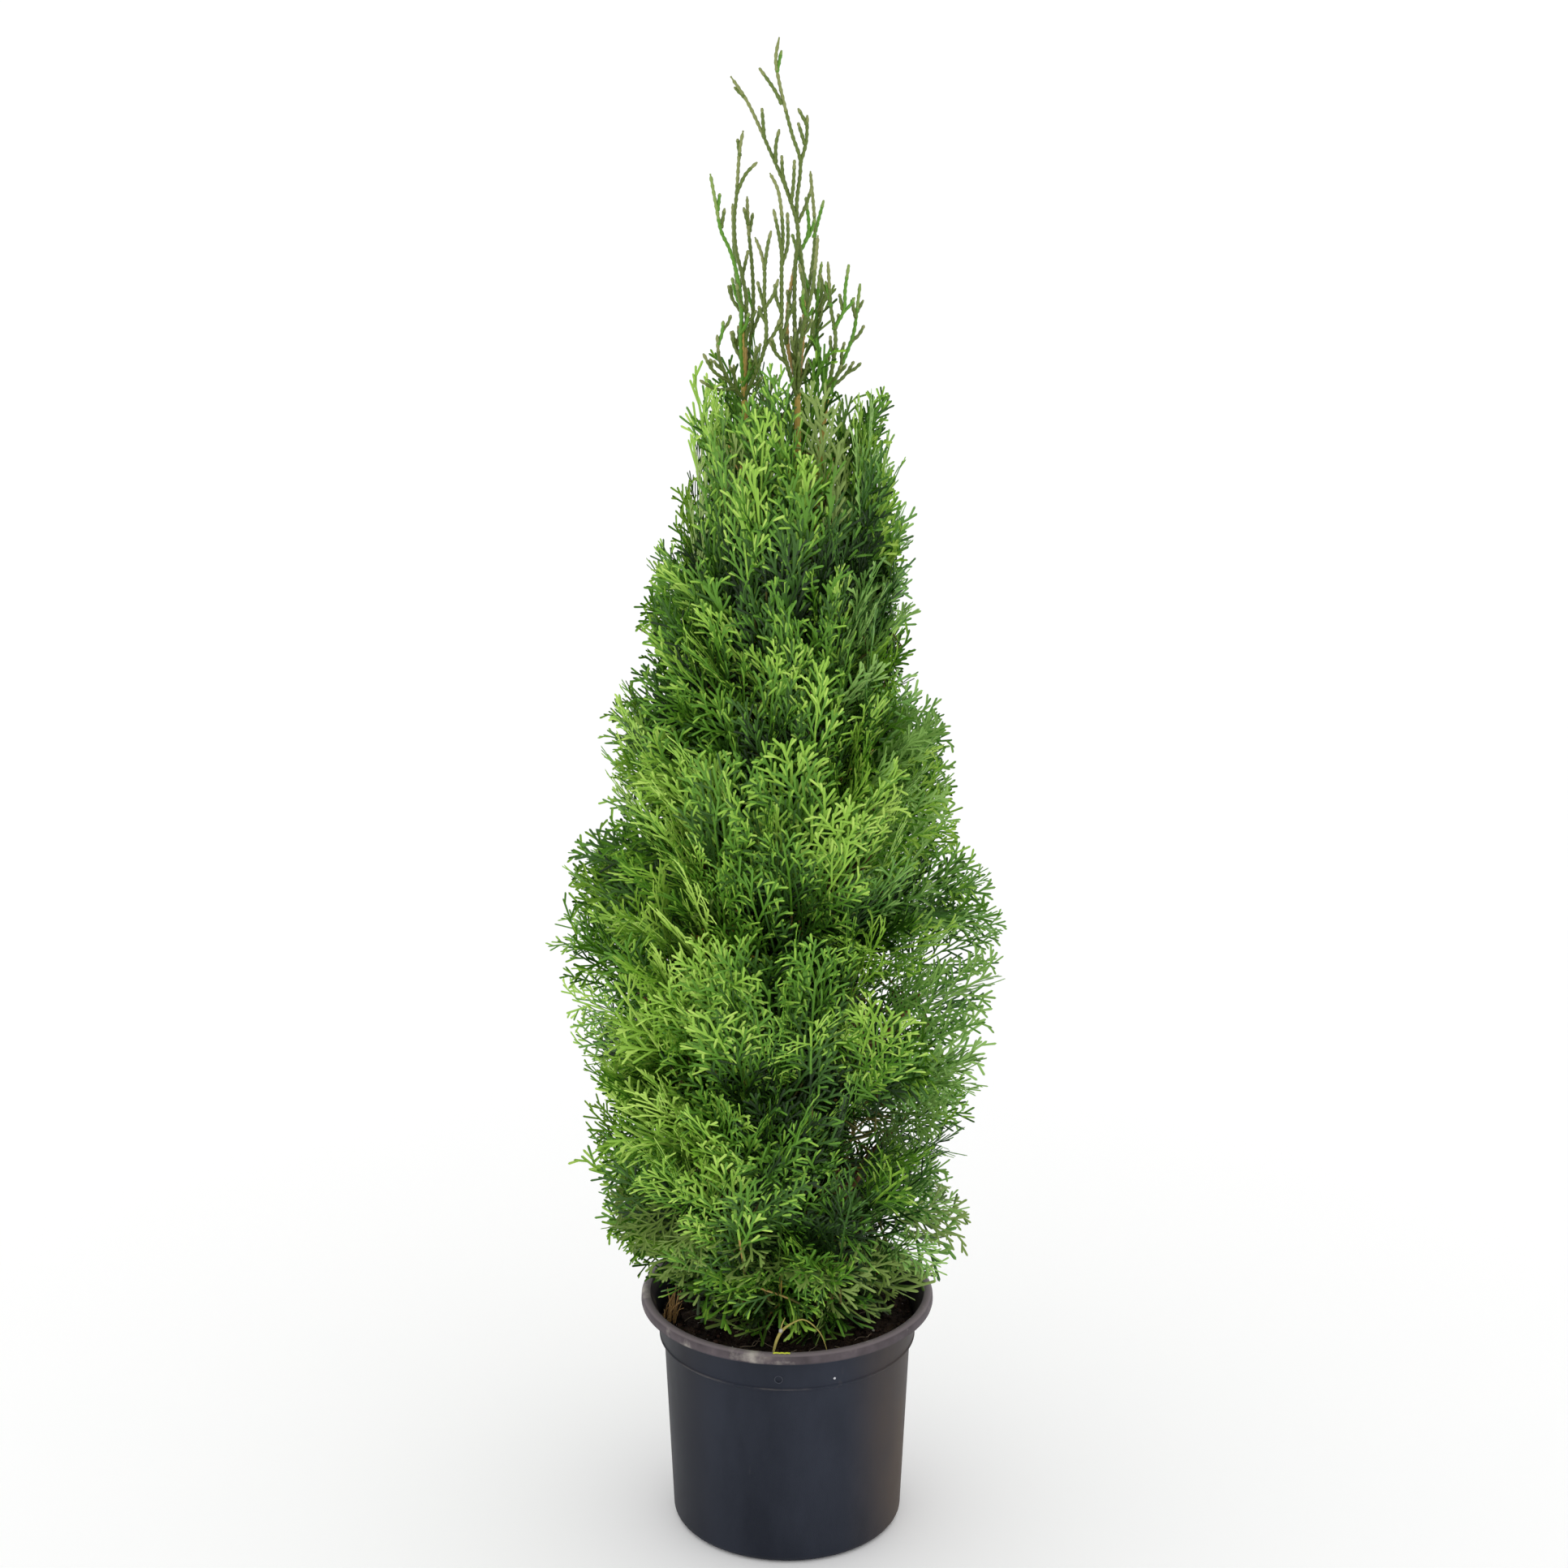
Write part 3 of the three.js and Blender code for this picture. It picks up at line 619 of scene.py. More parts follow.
def soil_material():
    finish = Finish("compost", linear(26, 20, 17), 0.95, 0.2)
    browns = ((0.35, linear(30, 24, 20)), (0.6, linear(60, 47, 38)), (0.78, linear(96, 78, 62)))
    finish.colour(finish.ramp(finish.noise(40, 6), *browns))
    finish.bump(finish.cells(260), 0.003, 0.8)
    finish.bump(finish.noise(500, 5), 0.002, 0.7)
    return finish.material


def plain_material(name, colour, roughness=0.8):
    finish = Finish(name, linear(*colour), roughness, 0.3)
    finish.bump(finish.noise(700, 4), 0.0008, 0.6)
    return finish.material


# ---- The crown's shape ----


def crown_reach(height, azimuth):
    left, right, depth = (np.interp(height, CROWN[:, 0], CROWN[:, k]) for k in (1, 2, 3))
    side = np.where(np.cos(azimuth) > 0, right, left)
    reach = 1 / np.hypot(np.cos(azimuth) / side, np.sin(azimuth) / depth)
    return np.where((height < CROWN[0, 0] - 4) | (height > CROWN[-1, 0]), 0, reach)


def creased(height, azimuth):
    """The share of the reach left where a crease between sprays runs in from the left or the right."""
    share = np.ones_like(height * azimuth)
    for middle, half, left, right in CREASES:
        lost = np.where(np.cos(azimuth) > 0, right, left) * np.cos(azimuth) ** 4
        share = share - lost * np.exp(-(((height - middle) / half) ** 2))
    return share


def within(point, spot):
    """From 1 in the middle of a spot in the crown's front to 0 well away from it."""
    x, height, half_width, half_height = spot[:4]
    away = ((point[0] - x) / half_width) ** 2 + ((point[2] - height) / half_height) ** 2
    return math.exp(-away) if point[1] < 0 else 0.0


def hollow(point):
    """From 0 to 1: how far a place in the front lies in a hollow, where fronds end further in and are
    painted in shade.
    """
    return max(within(point, spot) for spot in HOLLOWS)


def polar(points):
    x = points[..., 0] - AXIS_X
    return np.hypot(x, points[..., 1]), np.arctan2(points[..., 1], x)


def from_polar(radius, azimuth, height):
    return np.array([AXIS_X + radius * math.cos(azimuth), radius * math.sin(azimuth), height])


def storey_heights(index, radius):
    base, rise = STOREYS[index][3:5]
    above = STOREYS[index + 1][3:5] if index + 1 < len(STOREYS) else CROWN_TOP
    low = RIM_CLEAR if index == 0 and radius > POT_REACH else base + rise * radius
    return low, above[0] + above[1] * radius


def storey_point(index, radius, azimuth, share):
    return from_polar(radius, azimuth, lerp(*storey_heights(index, radius), share))


def in_crown(points, over=1.0):
    """Which points are within the crown's reach, above the compost and clear of the pot."""
    radius, azimuth = polar(points)
    height = points[..., 2]
    floor = np.where(radius < POT_REACH, SOIL_TOP + 5, RIM_CLEAR)
    reach = crown_reach(height, azimuth) * creased(height, azimuth)
    return (radius < reach * over) & (height > floor)


# ---- Limbs ----


class Limb:
    def __init__(self, route, foot, tip):
        self.points = smooth_route(route, LIMB_STEP)
        self.shares = shares_along(self.points)
        self.radii = lerp(foot, tip, self.shares)

    def at(self, share):
        return along(self.points, self.shares, share)

    def last_heading(self):
        return unit(self.at(1) - self.at(0.98))

    def at_height(self, height):
        return along(self.points, self.points[:, 2], height)


def stem_limbs():
    limbs = {}
    for name, stem in STEMS.items():
        limb = Limb(stem["route"], stem["foot"], stem["tip"])
        length = stem["route"][-1][2] - SOIL_TOP
        limb.radii = limb.radii + stem["flare"] * np.exp(-limb.shares * length / FLARE_HEIGHT)
        limbs[name] = limb
    return limbs


def carrier_of(azimuth):
    if math.cos(azimuth) > 0.75:
        return "stem_right"
    return "stem_left" if math.cos(azimuth) < -0.75 else "trunk"


def plan_masses(stems):
    """For each mass: its place in the crown, the bough under it and the stem that its fronds grow from."""
    plans = []
    for index, (storey, masses, turn, _, rise, has_bough, *fronds) in enumerate(STOREYS):
        for i in range(masses):
            azimuth = math.radians(turn + 360 * i / masses)
            carrier = stems[carrier_of(azimuth)]
            reach = float(crown_reach(storey_point(index, MIDDLE_RADIUS, azimuth, 0.5)[2], azimuth))
            off_axis = float(polar(carrier.at(0.5))[0])
            height = storey_point(index, FORK_RADIUS, azimuth, BOUGH["start"])[2] + rise * off_axis
            start = carrier.at_height(height)
            end = storey_point(index, reach * MASS_STEM["end"], azimuth, MASS_STEM["climb"])
            plan = {"name": f"{storey}_{i + 1}", "index": index, "azimuth": azimuth, "bough": None}
            plan.update(half=math.pi / masses, fronds=fronds)
            if has_bough:
                tip = storey_point(index, reach * BOUGH["end"], azimuth, BOUGH["climb"])
                middle = lerp(start, tip, 0.5) - [0, 0, 0.03 * reach]
                plan["bough"] = Limb([start, middle, tip], BOUGH["foot"], BOUGH["tip"])
                onward = tip + plan["bough"].last_heading() * 10
                plan["stem"] = Limb([tip, onward, end], BOUGH["tip"], MASS_STEM["tip"])
            else:
                middle = lerp(start, end, 0.4) - [0, 0, 0.04 * reach]
                plan["stem"] = Limb([start, middle, end], MASS_STEM["foot"], MASS_STEM["tip"])
            plans.append(plan)
    return plans


def bark_tube(limb, sides, relief, rng):
    """A limb's tube with stringy ridges that run along it and wander a little."""
    angles = np.arange(sides) * 2 * math.pi / sides
    lengths = distances(limb.points)
    ridges = np.zeros((len(lengths), sides))
    for _ in range(6):
        wave = rng.integers(3, 11)
        drift, phase = rng.uniform(-0.02, 0.02), rng.uniform(0, 2 * math.pi)
        ridges += np.sin(wave * angles[None, :] + drift * lengths[:, None] + phase) / 6
    knots = np.sin(lengths / rng.uniform(19, 27) + rng.uniform(0, 6))[:, None] * 0.25
    radii = limb.radii[:, None] * (1 + relief * (ridges + knots))
    return tube(limb.points, radii, sides)


def grow_bark(stems, plans):
    rng = np.random.default_rng(SEEDS["bark"])
    joined = Joined()
    for limb in stems.values():
        joined.add(*bark_tube(limb, 22, 0.16, rng))
    for plan in plans:
        if plan["bough"]:
            joined.add(*bark_tube(plan["bough"], 12, 0.14, rng))
        else:
            joined.add(*bark_tube(plan["stem"], 8, 0.12, rng))
    return joined.build("bark_limbs", [bark_material()])


# ---- Fronds ----


class Template:
    """A flat frond in its own plane: points across, along and out of it, in strips, each on its parent."""

    def __init__(self):
        self.points, self.faces, self.strip_of_point, self.strip_of_face = [], [], [], []
        self.parent, self.tip, self.shade, self.count = [], [], [], 0

    def add_strip(self, path, widths, parent, shade):
        """A keeled strip along a path, three points across at each station and one at its tip."""
        path = np.asarray(path, float)
        stations = len(path) - 1
        heading = unit(np.gradient(path, axis=0))
        aside = np.column_stack([heading[:, 1], -heading[:, 0], np.zeros(len(path))])
        half = np.asarray(widths, float)[:, None] / 2
        centre, aside = path[:stations], aside[:stations]
        keel = centre + [0, 0, 1] * half * FROND["keel"]
        rows = np.stack([centre - aside * half, keel, centre + aside * half], 1).reshape(-1, 3)
        first = self.count
        self.points.append(np.vstack([rows, path[-1:]]))
        faces = []
        for i in range(stations - 1):
            for k in (0, 1):
                a = first + 3 * i + k
                faces += [(a, a + 1, a + 4), (a, a + 4, a + 3)]
        last, tip = first + 3 * (stations - 1), first + 3 * stations
        faces += [(last, last + 1, tip), (last + 1, last + 2, tip)]
        strip = len(self.parent)
        self.faces += faces
        self.strip_of_face += [strip] * len(faces)
        self.strip_of_point += [strip] * (3 * stations + 1)
        self.parent.append(parent)
        self.tip.append(tip)
        self.shade.append(shade)
        self.count += 3 * stations + 1
        return strip

    def close(self, length):
        self.length = length
        self.points = np.vstack(self.points)
        self.faces = np.array(self.faces)
        for name in ("strip_of_point", "strip_of_face", "parent", "tip", "shade"):
            setattr(self, name, np.array(getattr(self, name)))
        return self


def bent_path(start, angle, length, stations, bend, tilt=0.0):
    """Points in the frond's plane from a start, at an angle from straight ahead and bending by another."""
    angles = angle + bend * (np.linspace(0, 1, stations + 1)[:-1] + 0.5 / stations)
    steps = np.column_stack([np.sin(angles), np.cos(angles), np.full(stations, tilt)]) * (length / stations)
    return np.vstack([start, np.asarray(start) + np.cumsum(steps, axis=0)])


def blunt(path, widest):
    """A path's last point drawn in, so that its tip is round and not long."""
    path = np.array(path)
    last = np.linalg.norm(path[-1] - path[-2])
    path[-2] = lerp(path[-2], path[-1], max(0.0, 1 - widest * FROND["blunt"] / last))
    return path


def frond_template(length, habit, rng):
    """The axis, its fingers to both sides, their branchlets and the forks on these."""
    made = Template()
    lean, bend = rng.uniform(-0.05, 0.05), rng.uniform(-0.25, 0.25)
    axis = bent_path((0, 0, 0), lean, length, max(6, int(length / FROND["stations"][0])), bend)
    stalk = int(len(axis) * FROND["woody"]) + 1
    made.add_strip(axis[: stalk + 1], np.full(stalk, habit["width"] * 0.8), -1, -1)
    body = blunt(axis[stalk - 1 :], habit["width"])
    main = made.add_strip(body, np.full(len(body) - 1, habit["width"] * 0.95), -1, 1)
    shares = shares_along(axis)
    fingers = int(length * (1 - FROND["stalk"]) / habit["step"])
    for i in range(fingers):
        share = FROND["stalk"] + (i + rng.uniform(0.2, 0.8)) / fingers * (1 - FROND["stalk"]) * 0.95
        side = 1 if i % 2 else -1
        reach = length * habit["finger"] * math.sin(math.pi * lerp(0.36, 0.9, share))
        reach *= rng.uniform(0.75, 1.2)
        start, ahead = along(axis, shares, share), along(axis, shares, share + 0.05)
        lean = math.atan2(ahead[0] - start[0], ahead[1] - start[1])
        angle = lean + side * math.radians(habit["angle"] + rng.uniform(-6, 8) - 10 * share)
        reach = max(reach, FROND["shortest_finger"])
        grow_finger(made, start, angle, reach, side, main, share, habit, rng)
    return made.close(length)


def grow_finger(made, start, angle, reach, side, parent, place, habit, rng):
    """A finger curves ahead, with branchlets to both sides that shorten towards its tip."""
    tilt = rng.uniform(-0.12, 0.12)
    bend = -side * rng.uniform(0.05, 0.35)
    stations = max(2, int(reach / FROND["stations"][1]))
    path = blunt(bent_path(start, angle, reach, stations, bend, tilt), habit["width"])
    # A finger on the outer half of the frond takes the next rung up: painted light there, together with the
    # fresher green of the frond's outer parts.
    outer = 1 if place > 0.55 else 0
    finger = made.add_strip(path, np.linspace(0.9, 1, stations) * habit["width"], parent, outer)
    shares = shares_along(path)
    count = int(reach / habit["gap"])
    for i in range(1, count):
        share = (i + rng.uniform(-0.2, 0.2)) / count
        hand = side if i % 2 else -side
        length = habit["branchlet"] * (1.05 - 0.6 * share) * min(1, reach / 40 + 0.35)
        length *= rng.uniform(0.75, 1.15)
        own = angle + bend * share + hand * math.radians(habit["spread"] + rng.uniform(-5, 6))
        root = along(path, shares, share)
        outward = 0.35 * place + 0.65 * share
        grow_branchlet(made, root, own, length, hand, finger, outward, habit["width"], rng)


def grow_branchlet(made, root, angle, length, hand, parent, place, width, rng):
    """A straight needle-like branchlet, now and then with short forks."""
    tilt = rng.uniform(-0.08, 0.08)
    path = blunt(bent_path(root, angle, length, 2, -hand * rng.uniform(0, 0.12), tilt), width)
    # Branchlets further out take higher rungs, and forks the highest: painted light on a frond's outer
    # parts and painted shade nearer its base, together with the fresher green of its tips.
    shade = int(place > rng.uniform(0.25, 0.75)) + int(place > rng.uniform(0.6, 1.3))
    strip = made.add_strip(path, np.array([0.8, 0.95]) * width, parent, shade)
    for share, side in FROND["fork_places"]:
        turn = side * hand
        if rng.random() < FROND["forked"] and length > FROND["forked_from"]:
            fork = lerp(path[0], path[-1], share)
            reach = FROND["fork"] * rng.uniform(0.7, 1.3)
            own = angle + turn * math.radians(FROND["fork_angle"] + rng.uniform(-4, 5))
            tip = blunt(bent_path(fork, own, reach, 2, -turn * 0.06, tilt), width)
            made.add_strip(tip, np.array([0.85, 0.95]) * width, strip, 2)


def frond_templates():
    """By habit and length, a few fronds of each."""
    rng = np.random.default_rng(SEEDS["fronds"])
    return {
        (name, length): [frond_template(length, habit, rng) for _ in range(FROND_KINDS)]
        for name, habit in HABITS.items()
        for length in FROND_LENGTHS
    }


def chosen_template(templates, length, height, rng):
    nearest = min(FROND_LENGTHS, key=lambda known: abs(known - length))
    habit = "fan"
    if rng.random() < smoothstep(FLAME_ABOVE, FLAME_ABOVE + 420, height):
        habit = "flame"
    if rng.random() < smoothstep(330, 240, height):
        habit = "star"
    return templates[habit, nearest][rng.integers(FROND_KINDS)]


def place_frond(joined, template, root, heading, across, length, curl, keep, tones):
    """Sets a template on its root. A strip that leaves the crown goes, with all that hangs on it."""
    bow, cup, hand = curl
    local = template.points * (length / template.length)
    local[:, 0] *= hand
    lift = local[:, 2] + (bow * local[:, 1] ** 2 + cup * local[:, 0] ** 2) / length
    face = np.cross(heading, across)
    points = root + local[:, :1] * across + local[:, 1:2] * heading + lift[:, None] * face
    alive = keep(points[template.tip])
    for strip, parent in enumerate(template.parent):
        if parent >= 0 and not alive[parent]:
            alive[strip] = False
    shown = alive[template.strip_of_face]
    used = alive[template.strip_of_point]
    renumber = np.cumsum(used) - 1
    shades = template.shade[template.strip_of_face[shown]]
    joined.add(points[used], renumber[template.faces[shown]], tones[shades + 1])


def tones_for(place, depth, index, rng):
    """Slots from a frond's stalk out to its forks. Its ladder and rung go by its place in the crown: warm
    to the left, cooler to the right, dull in the skirt, painted light outside, painted shade inside and in
    the hollows."""
    x, y, z = place
    # The rung is painted light and shade: low for fronds deep in the crown and in the hollows, higher near
    # its outside and on its lit flanks, and higher towards the top.
    light = 0.2 + 2.1 * smoothstep(0.72, 1, depth) + rng.normal(0, 0.42)
    light += sum(spot[4] * within(place, spot) for spot in FLANKS) - hollow(place)
    light = max(light, 1.7 * smoothstep(1040, 1120, z))
    kind = "warm"
    if rng.random() < 0.75 * smoothstep(10, 130, x + 0.3 * y):
        kind = "cool"
    if rng.random() < (0.6 if index == 0 else 0.2 * smoothstep(1000, 1100, z)):
        kind = "dull"
    if depth < 0.8 and rng.random() < DRY_SHARE:
        return np.array([*LADDERS["dry"], *LADDERS["dull"][1:]])
    ladder = LADDERS[kind]
    rung = int(round(light + 0.3 * smoothstep(950, 1050, z))) - 1
    steps = [ladder[int(np.clip(rung + k, 0, len(ladder) - 1))] for k in (0, 1, 2)]
    stalk = TWIG if rng.random() < 0.3 else ladder[0]
    return np.array([stalk, *steps])


def openness(azimuth, height):
    """The share of fronds left out, on the right flank above all."""
    start, full, fade, end = OPEN_HEIGHTS
    sides = smoothstep(0, 0.8, math.cos(azimuth)), smoothstep(0.4, 1, -math.cos(azimuth))
    return np.dot(OPEN_SHARES, sides) * smoothstep(start, full, height) * smoothstep(end, fade, height)


def grow_twig(twigs, stem, base, heading, rng):
    """A twig from the mass's stem that bends into a frond's own line."""
    near = stem.points[: max(2, int(len(stem.points) * TWIG_ROOTS))]
    gaps = np.linalg.norm(near - base, axis=1) + np.maximum(0, near[:, 2] - base[2] + 12)
    root = near[np.argmin(gaps + rng.uniform(0, 8, len(near)))]
    furthest, share = TWIG_BEND
    bend = base - heading * min(furthest, np.linalg.norm(base - root) * share)
    points = smooth_route([root, bend, base + heading * 4], 18)
    twigs.tube(points, lerp(*TWIG_RADII, shares_along(points)), 4, 1, ends=False)


def dealt_fronds(plan, rng):
    """Tip, depth, azimuth, climb and length of the fronds whose tips are dealt evenly over the mass's outer
    face, some deeper than others."""
    index, azimuth, half = plan["index"], plan["azimuth"], plan["half"]
    fronds, shortest, longest, climb_wanted = plan["fronds"]
    lowest = 0.04 if index == 0 else -OVERLAP
    highest = 1.0 if index == len(STOREYS) - 1 else 1 + OVERLAP
    for i in range(fronds):
        aside = azimuth + half * lerp(-1.0, 1.0, (0.5 + i * DEAL[0]) % 1)
        share = lerp(lowest, highest, (0.5 + i * DEAL[1]) % 1)
        depth = DEPTHS[i % len(DEPTHS)]
        height = storey_point(index, OUTER_RADIUS * depth, aside, share)[2]
        reach = float(crown_reach(height, aside) * creased(height, aside)) * TIP_SHARE * depth
        tip = storey_point(index, reach, aside, share)
        tip = storey_point(index, reach * (1 - 0.25 * hollow(tip)), aside, share)
        if rng.random() < max(openness(aside, tip[2]), TOP_THINNED * smoothstep(1065, 1125, tip[2])):
            continue
        climb = climb_wanted - SIDE_SPREAD * math.cos(aside) ** 2 * (0 < index < 5)
        climb += rng.normal(0, SETTING["climbs"])
        yield tip, depth, aside, climb, lerp(shortest, longest, rng.random())


def inner_fronds(plan):
    """Fronds close to the stems, painted in shade by their depth; without them the stems would show bare
    from the side where the right flank is open.
    """
    index, azimuth = plan["index"], plan["azimuth"]
    if openness(azimuth, storey_point(index, OUTER_RADIUS, azimuth, 0.5)[2]) < 0.3:
        return
    for i in range(INNER_FRONDS["count"]):
        aside = azimuth + plan["half"] * lerp(-1.0, 1.0, (0.5 + i * DEAL[0]) % 1)
        tip = storey_point(index, INNER_FRONDS["reach"], aside, (0.5 + i * DEAL[1]) % 1)
        yield tip, INNER_FRONDS["depth"], aside, INNER_FRONDS["climb"], INNER_FRONDS["length"]


def marked_fronds(plan, plans):
    """The same of the marked sprays that belong to this mass."""
    for x, y, height, length, climb in MARKED_SPRAYS:
        tip = np.array([x, y, height], float)
        aside = float(polar(tip)[1])
        if nearest_mass(tip, aside, plans) is plan:
            yield tip, 1.0, aside, climb, length


def nearest_mass(tip, aside, plans):
    """Of all masses, the one whose storey and side of the crown a tip lies in."""

    def off(plan):
        low, high = storey_heights(plan["index"], float(polar(tip)[0]))
        return max(low - tip[2], tip[2] - high, 0) + 100 * (1 - math.cos(plan["azimuth"] - aside))

    return min(plans, key=off)


def grow_mass(joined, twigs, plan, plans, templates, seed, clear):
    """A mass's fronds, each on a twig from the mass's stem."""
    rng = np.random.default_rng(seed)
    fronds = [*dealt_fronds(plan, rng), *marked_fronds(plan, plans), *inner_fronds(plan)]
    for tip, depth, aside, climb, length in fronds:
        slope = math.radians(min(climb, SETTING["steepest"]))
        bearing = aside + rng.normal(0, SETTING["bearings"])
        heading = heading_at(bearing) * math.cos(slope) + [0, 0, math.sin(slope)]
        base = tip - heading * length
        lowest = SOIL_TOP + 10 if math.hypot(*base[:2]) < POT_REACH - 10 else RIM_CLEAR + 10
        if base[2] < lowest:
            base[2] = min(lowest, tip[2])
            heading, length = unit(tip - base), np.linalg.norm(tip - base)
        facing = heading_at(aside, SETTING["facing_lift"])
        edge_on = rng.random() >= SETTING["facing"]
        turn = 90 * edge_on + rng.normal(0, SETTING["turns"][edge_on])
        across = turned_about(unit(np.cross(facing, heading)), heading, math.radians(turn))
        template = chosen_template(templates, length, tip[2], rng)
        upright = 1 if np.cross(heading, across)[2] > 0 else -1
        curl = (upright * rng.uniform(*SETTING["bow"]), rng.uniform(*SETTING["cup"]), rng.choice([-1, 1]))
        grow_twig(twigs, plan["stem"], base, heading, rng)
        tones = tones_for(tip, depth, plan["index"], rng)
        place_frond(joined, template, base, heading, across, length, curl, clear, tones)


def grow_foliage(plans, templates, clear):
    """One piece a storey, which stands for that storey's masses, and one of all their twigs."""
    materials = [leaf_material(name, colour) for name, colour in TONES.items()]
    pieces, twigs = [], Joined()
    for index, storey in enumerate(STOREYS):
        joined = Joined()
        own = [plan for plan in plans if plan["index"] == index]
        for order, plan in enumerate(own):
            grow_mass(joined, twigs, plan, plans, templates, 100 * index + order + 1, clear)
        piece = joined.build(f"foliage_{storey[0]}", materials)
        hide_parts(*(f"foliage_{plan['name']}" for plan in own))
        pieces.append(piece)
    for plan in plans:
        if plan["bough"]:
            twigs.tube(plan["stem"].points, plan["stem"].radii, 8)
    return pieces, build_twigs(twigs), materials


def build_twigs(twigs):
    brown = plain_material("young_bark", (118, 84, 54))
    green = plain_material("green_twig", (96, 92, 44))
    return twigs.build("twigs", [brown, green])


# ---- Leading shoots ----

# Each spray of leading shoots: the stem that it ends, how far it leans back (mm in 100), how far back it
# goes for each mm to the right, and the share of its main shoot that is bare. Then come its routes (x and
# height): the main shoot's, which starts from the stem, and those of the others, which fork from it.
SHOOTS = (
    (("trunk", 0, 0.5, 0.3),
     [(15, 1176), (14, 1202), (9, 1244), (8, 1266), (11, 1302),
      (4, 1325), (-7, 1369), (-10, 1389), (-7, 1407)],
     [(-5, 1351), (-11, 1363), (-24, 1382)],
     [(-9, 1378), (-5, 1396)],
     [(11, 1300), (16, 1318), (17, 1341)],
     [(15, 1316), (9, 1335)],
     [(17, 1332), (9, 1347)],
     [(9, 1250), (15, 1262), (21, 1279)]),
    (("trunk", -3, -0.7, 0.0),
     [(6, 1176), (7, 1217), (9, 1244), (1, 1273), (-16, 1312), (-35, 1351), (-49, 1371)],
     [(-37, 1354), (-46, 1362)],
     [(-20, 1320), (-22, 1346)],
     [(-10, 1300), (-10, 1315), (-7, 1329)],
     [(0, 1276), (-4, 1290), (-5, 1307)],
     [(3, 1266), (5, 1282), (6, 1304)]),
    (("trunk", -6, 0.9, 0.0),
     [(-5, 1149), (-5, 1176), (-5, 1219), (-4, 1244), (-8, 1280), (-15, 1296)],
     [(-4, 1219), (-7, 1240), (-12, 1265)],
     [(-5, 1216), (0, 1232), (0, 1261)]),
    (("trunk", 3, 0.4, 0.9),
     [(9, 1106), (1, 1139), (0, 1173), (7, 1217)],
     [(7, 1217), (18, 1240), (16, 1271)],
     [(15, 1232), (20, 1240), (24, 1252)]),
    (("stem_left", -3, 0.6, 0.0),
     [(-41, 1149), (-40, 1176), (-44, 1207), (-50, 1228), (-57, 1244), (-61, 1265), (-66, 1294)],
     [(-60, 1262), (-58, 1277)],
     [(-57, 1247), (-54, 1264)]),
    (("stem_left", 0, -0.6, 0.2),
     [(-36, 1163), (-36, 1185), (-39, 1202), (-45, 1228),
      (-46, 1253), (-44, 1273), (-41, 1312), (-38, 1328)],
     [(-41, 1306), (-43, 1321)],
     [(-44, 1274), (-36, 1291), (-26, 1302)]),
    (("stem_left", 4, 1.4, 0.0),
     [(-30, 1176), (-31, 1211), (-34, 1244), (-35, 1271)],
     [(-34, 1246), (-38, 1262)],
     [(-33, 1240), (-30, 1256)]),
    (("stem_left", -8, -0.9, 0.0),
     [(-19, 1149), (-20, 1187), (-20, 1214), (-23, 1228), (-28, 1240)],
     [(-20, 1212), (-17, 1234), (-14, 1247)],
     [(-19, 1180), (-12, 1192), (-8, 1206)],
     [(-19, 1176), (-26, 1202)]),
    (("stem_right", -3, -0.6, 0.0),
     [(42, 1149), (38, 1176), (35, 1217)],
     [(40, 1158), (49, 1176), (50, 1194), (53, 1216)],
     [(38, 1178), (33, 1200)],
     [(48, 1176), (45, 1190)]),
    (("stem_right", 4, 0.9, 0.0),
     [(58, 1149), (61, 1168), (64, 1193)],
     [(60, 1164), (56, 1180)],
     [(61, 1168), (67, 1178)]),
    (("stem_left", -6, 0.8, 0.0),
     [(-50, 1112), (-59, 1134), (-61, 1156)],
     [(-51, 1113), (-64, 1124), (-73, 1141)],
     [(-46, 1106), (-62, 1108), (-76, 1118)]),
    (("stem_right", 6, -2.2, 0.0),
     [(26, 1149), (27, 1190), (30, 1214)],
     [(27, 1170), (36, 1196)]),
    (("stem_left", 6, -2.4, 0.0),
     [(-40, 1160), (-46, 1210), (-48, 1262)],
     [(-43, 1186), (-34, 1226)]),
    (("trunk", 7, 2.0, 0.0),
     [(14, 1160), (24, 1230), (20, 1290)],
     [(18, 1190), (4, 1240)],
     [(23, 1232), (32, 1262)]),
    (("trunk", -8, -1.6, 0.0),
     [(12, 1150), (22, 1200), (26, 1244)],
     [(18, 1180), (10, 1216)]),
)
SHOOT = {
    "foot": 1095,
    "radius": 2.05,
    "tip": 1.5,
    "sides": 5,
    "station": 1.8,
    "knot": 6,  # from one swelling to the next
    "step": 21,  # from one lateral to the next
    "lateral": 26,
    "angle": 27,
    "thinner": 0.85,  # each fork and lateral than what carries it
    "pale": 0.8,  # from this share on it has its tip's colour
    "forked_from": 17,  # laterals shorter than this have none of their own
    "bare_above": 1185,  # no more laterals than the forks above this height
    "over": 1.15,  # the laterals' furthest tips, as a share of the crown's reach
}


def knotted(points, radius, tip):
    """Radii that swell at each pair of scale leaves."""
    shares = shares_along(points)
    swell = 1 + 0.2 * np.sin(2 * math.pi * distances(points) / SHOOT["knot"])
    ends = np.where(shares > 0.985, 0.55, 1)
    return lerp(radius, tip, shares) * swell * ends


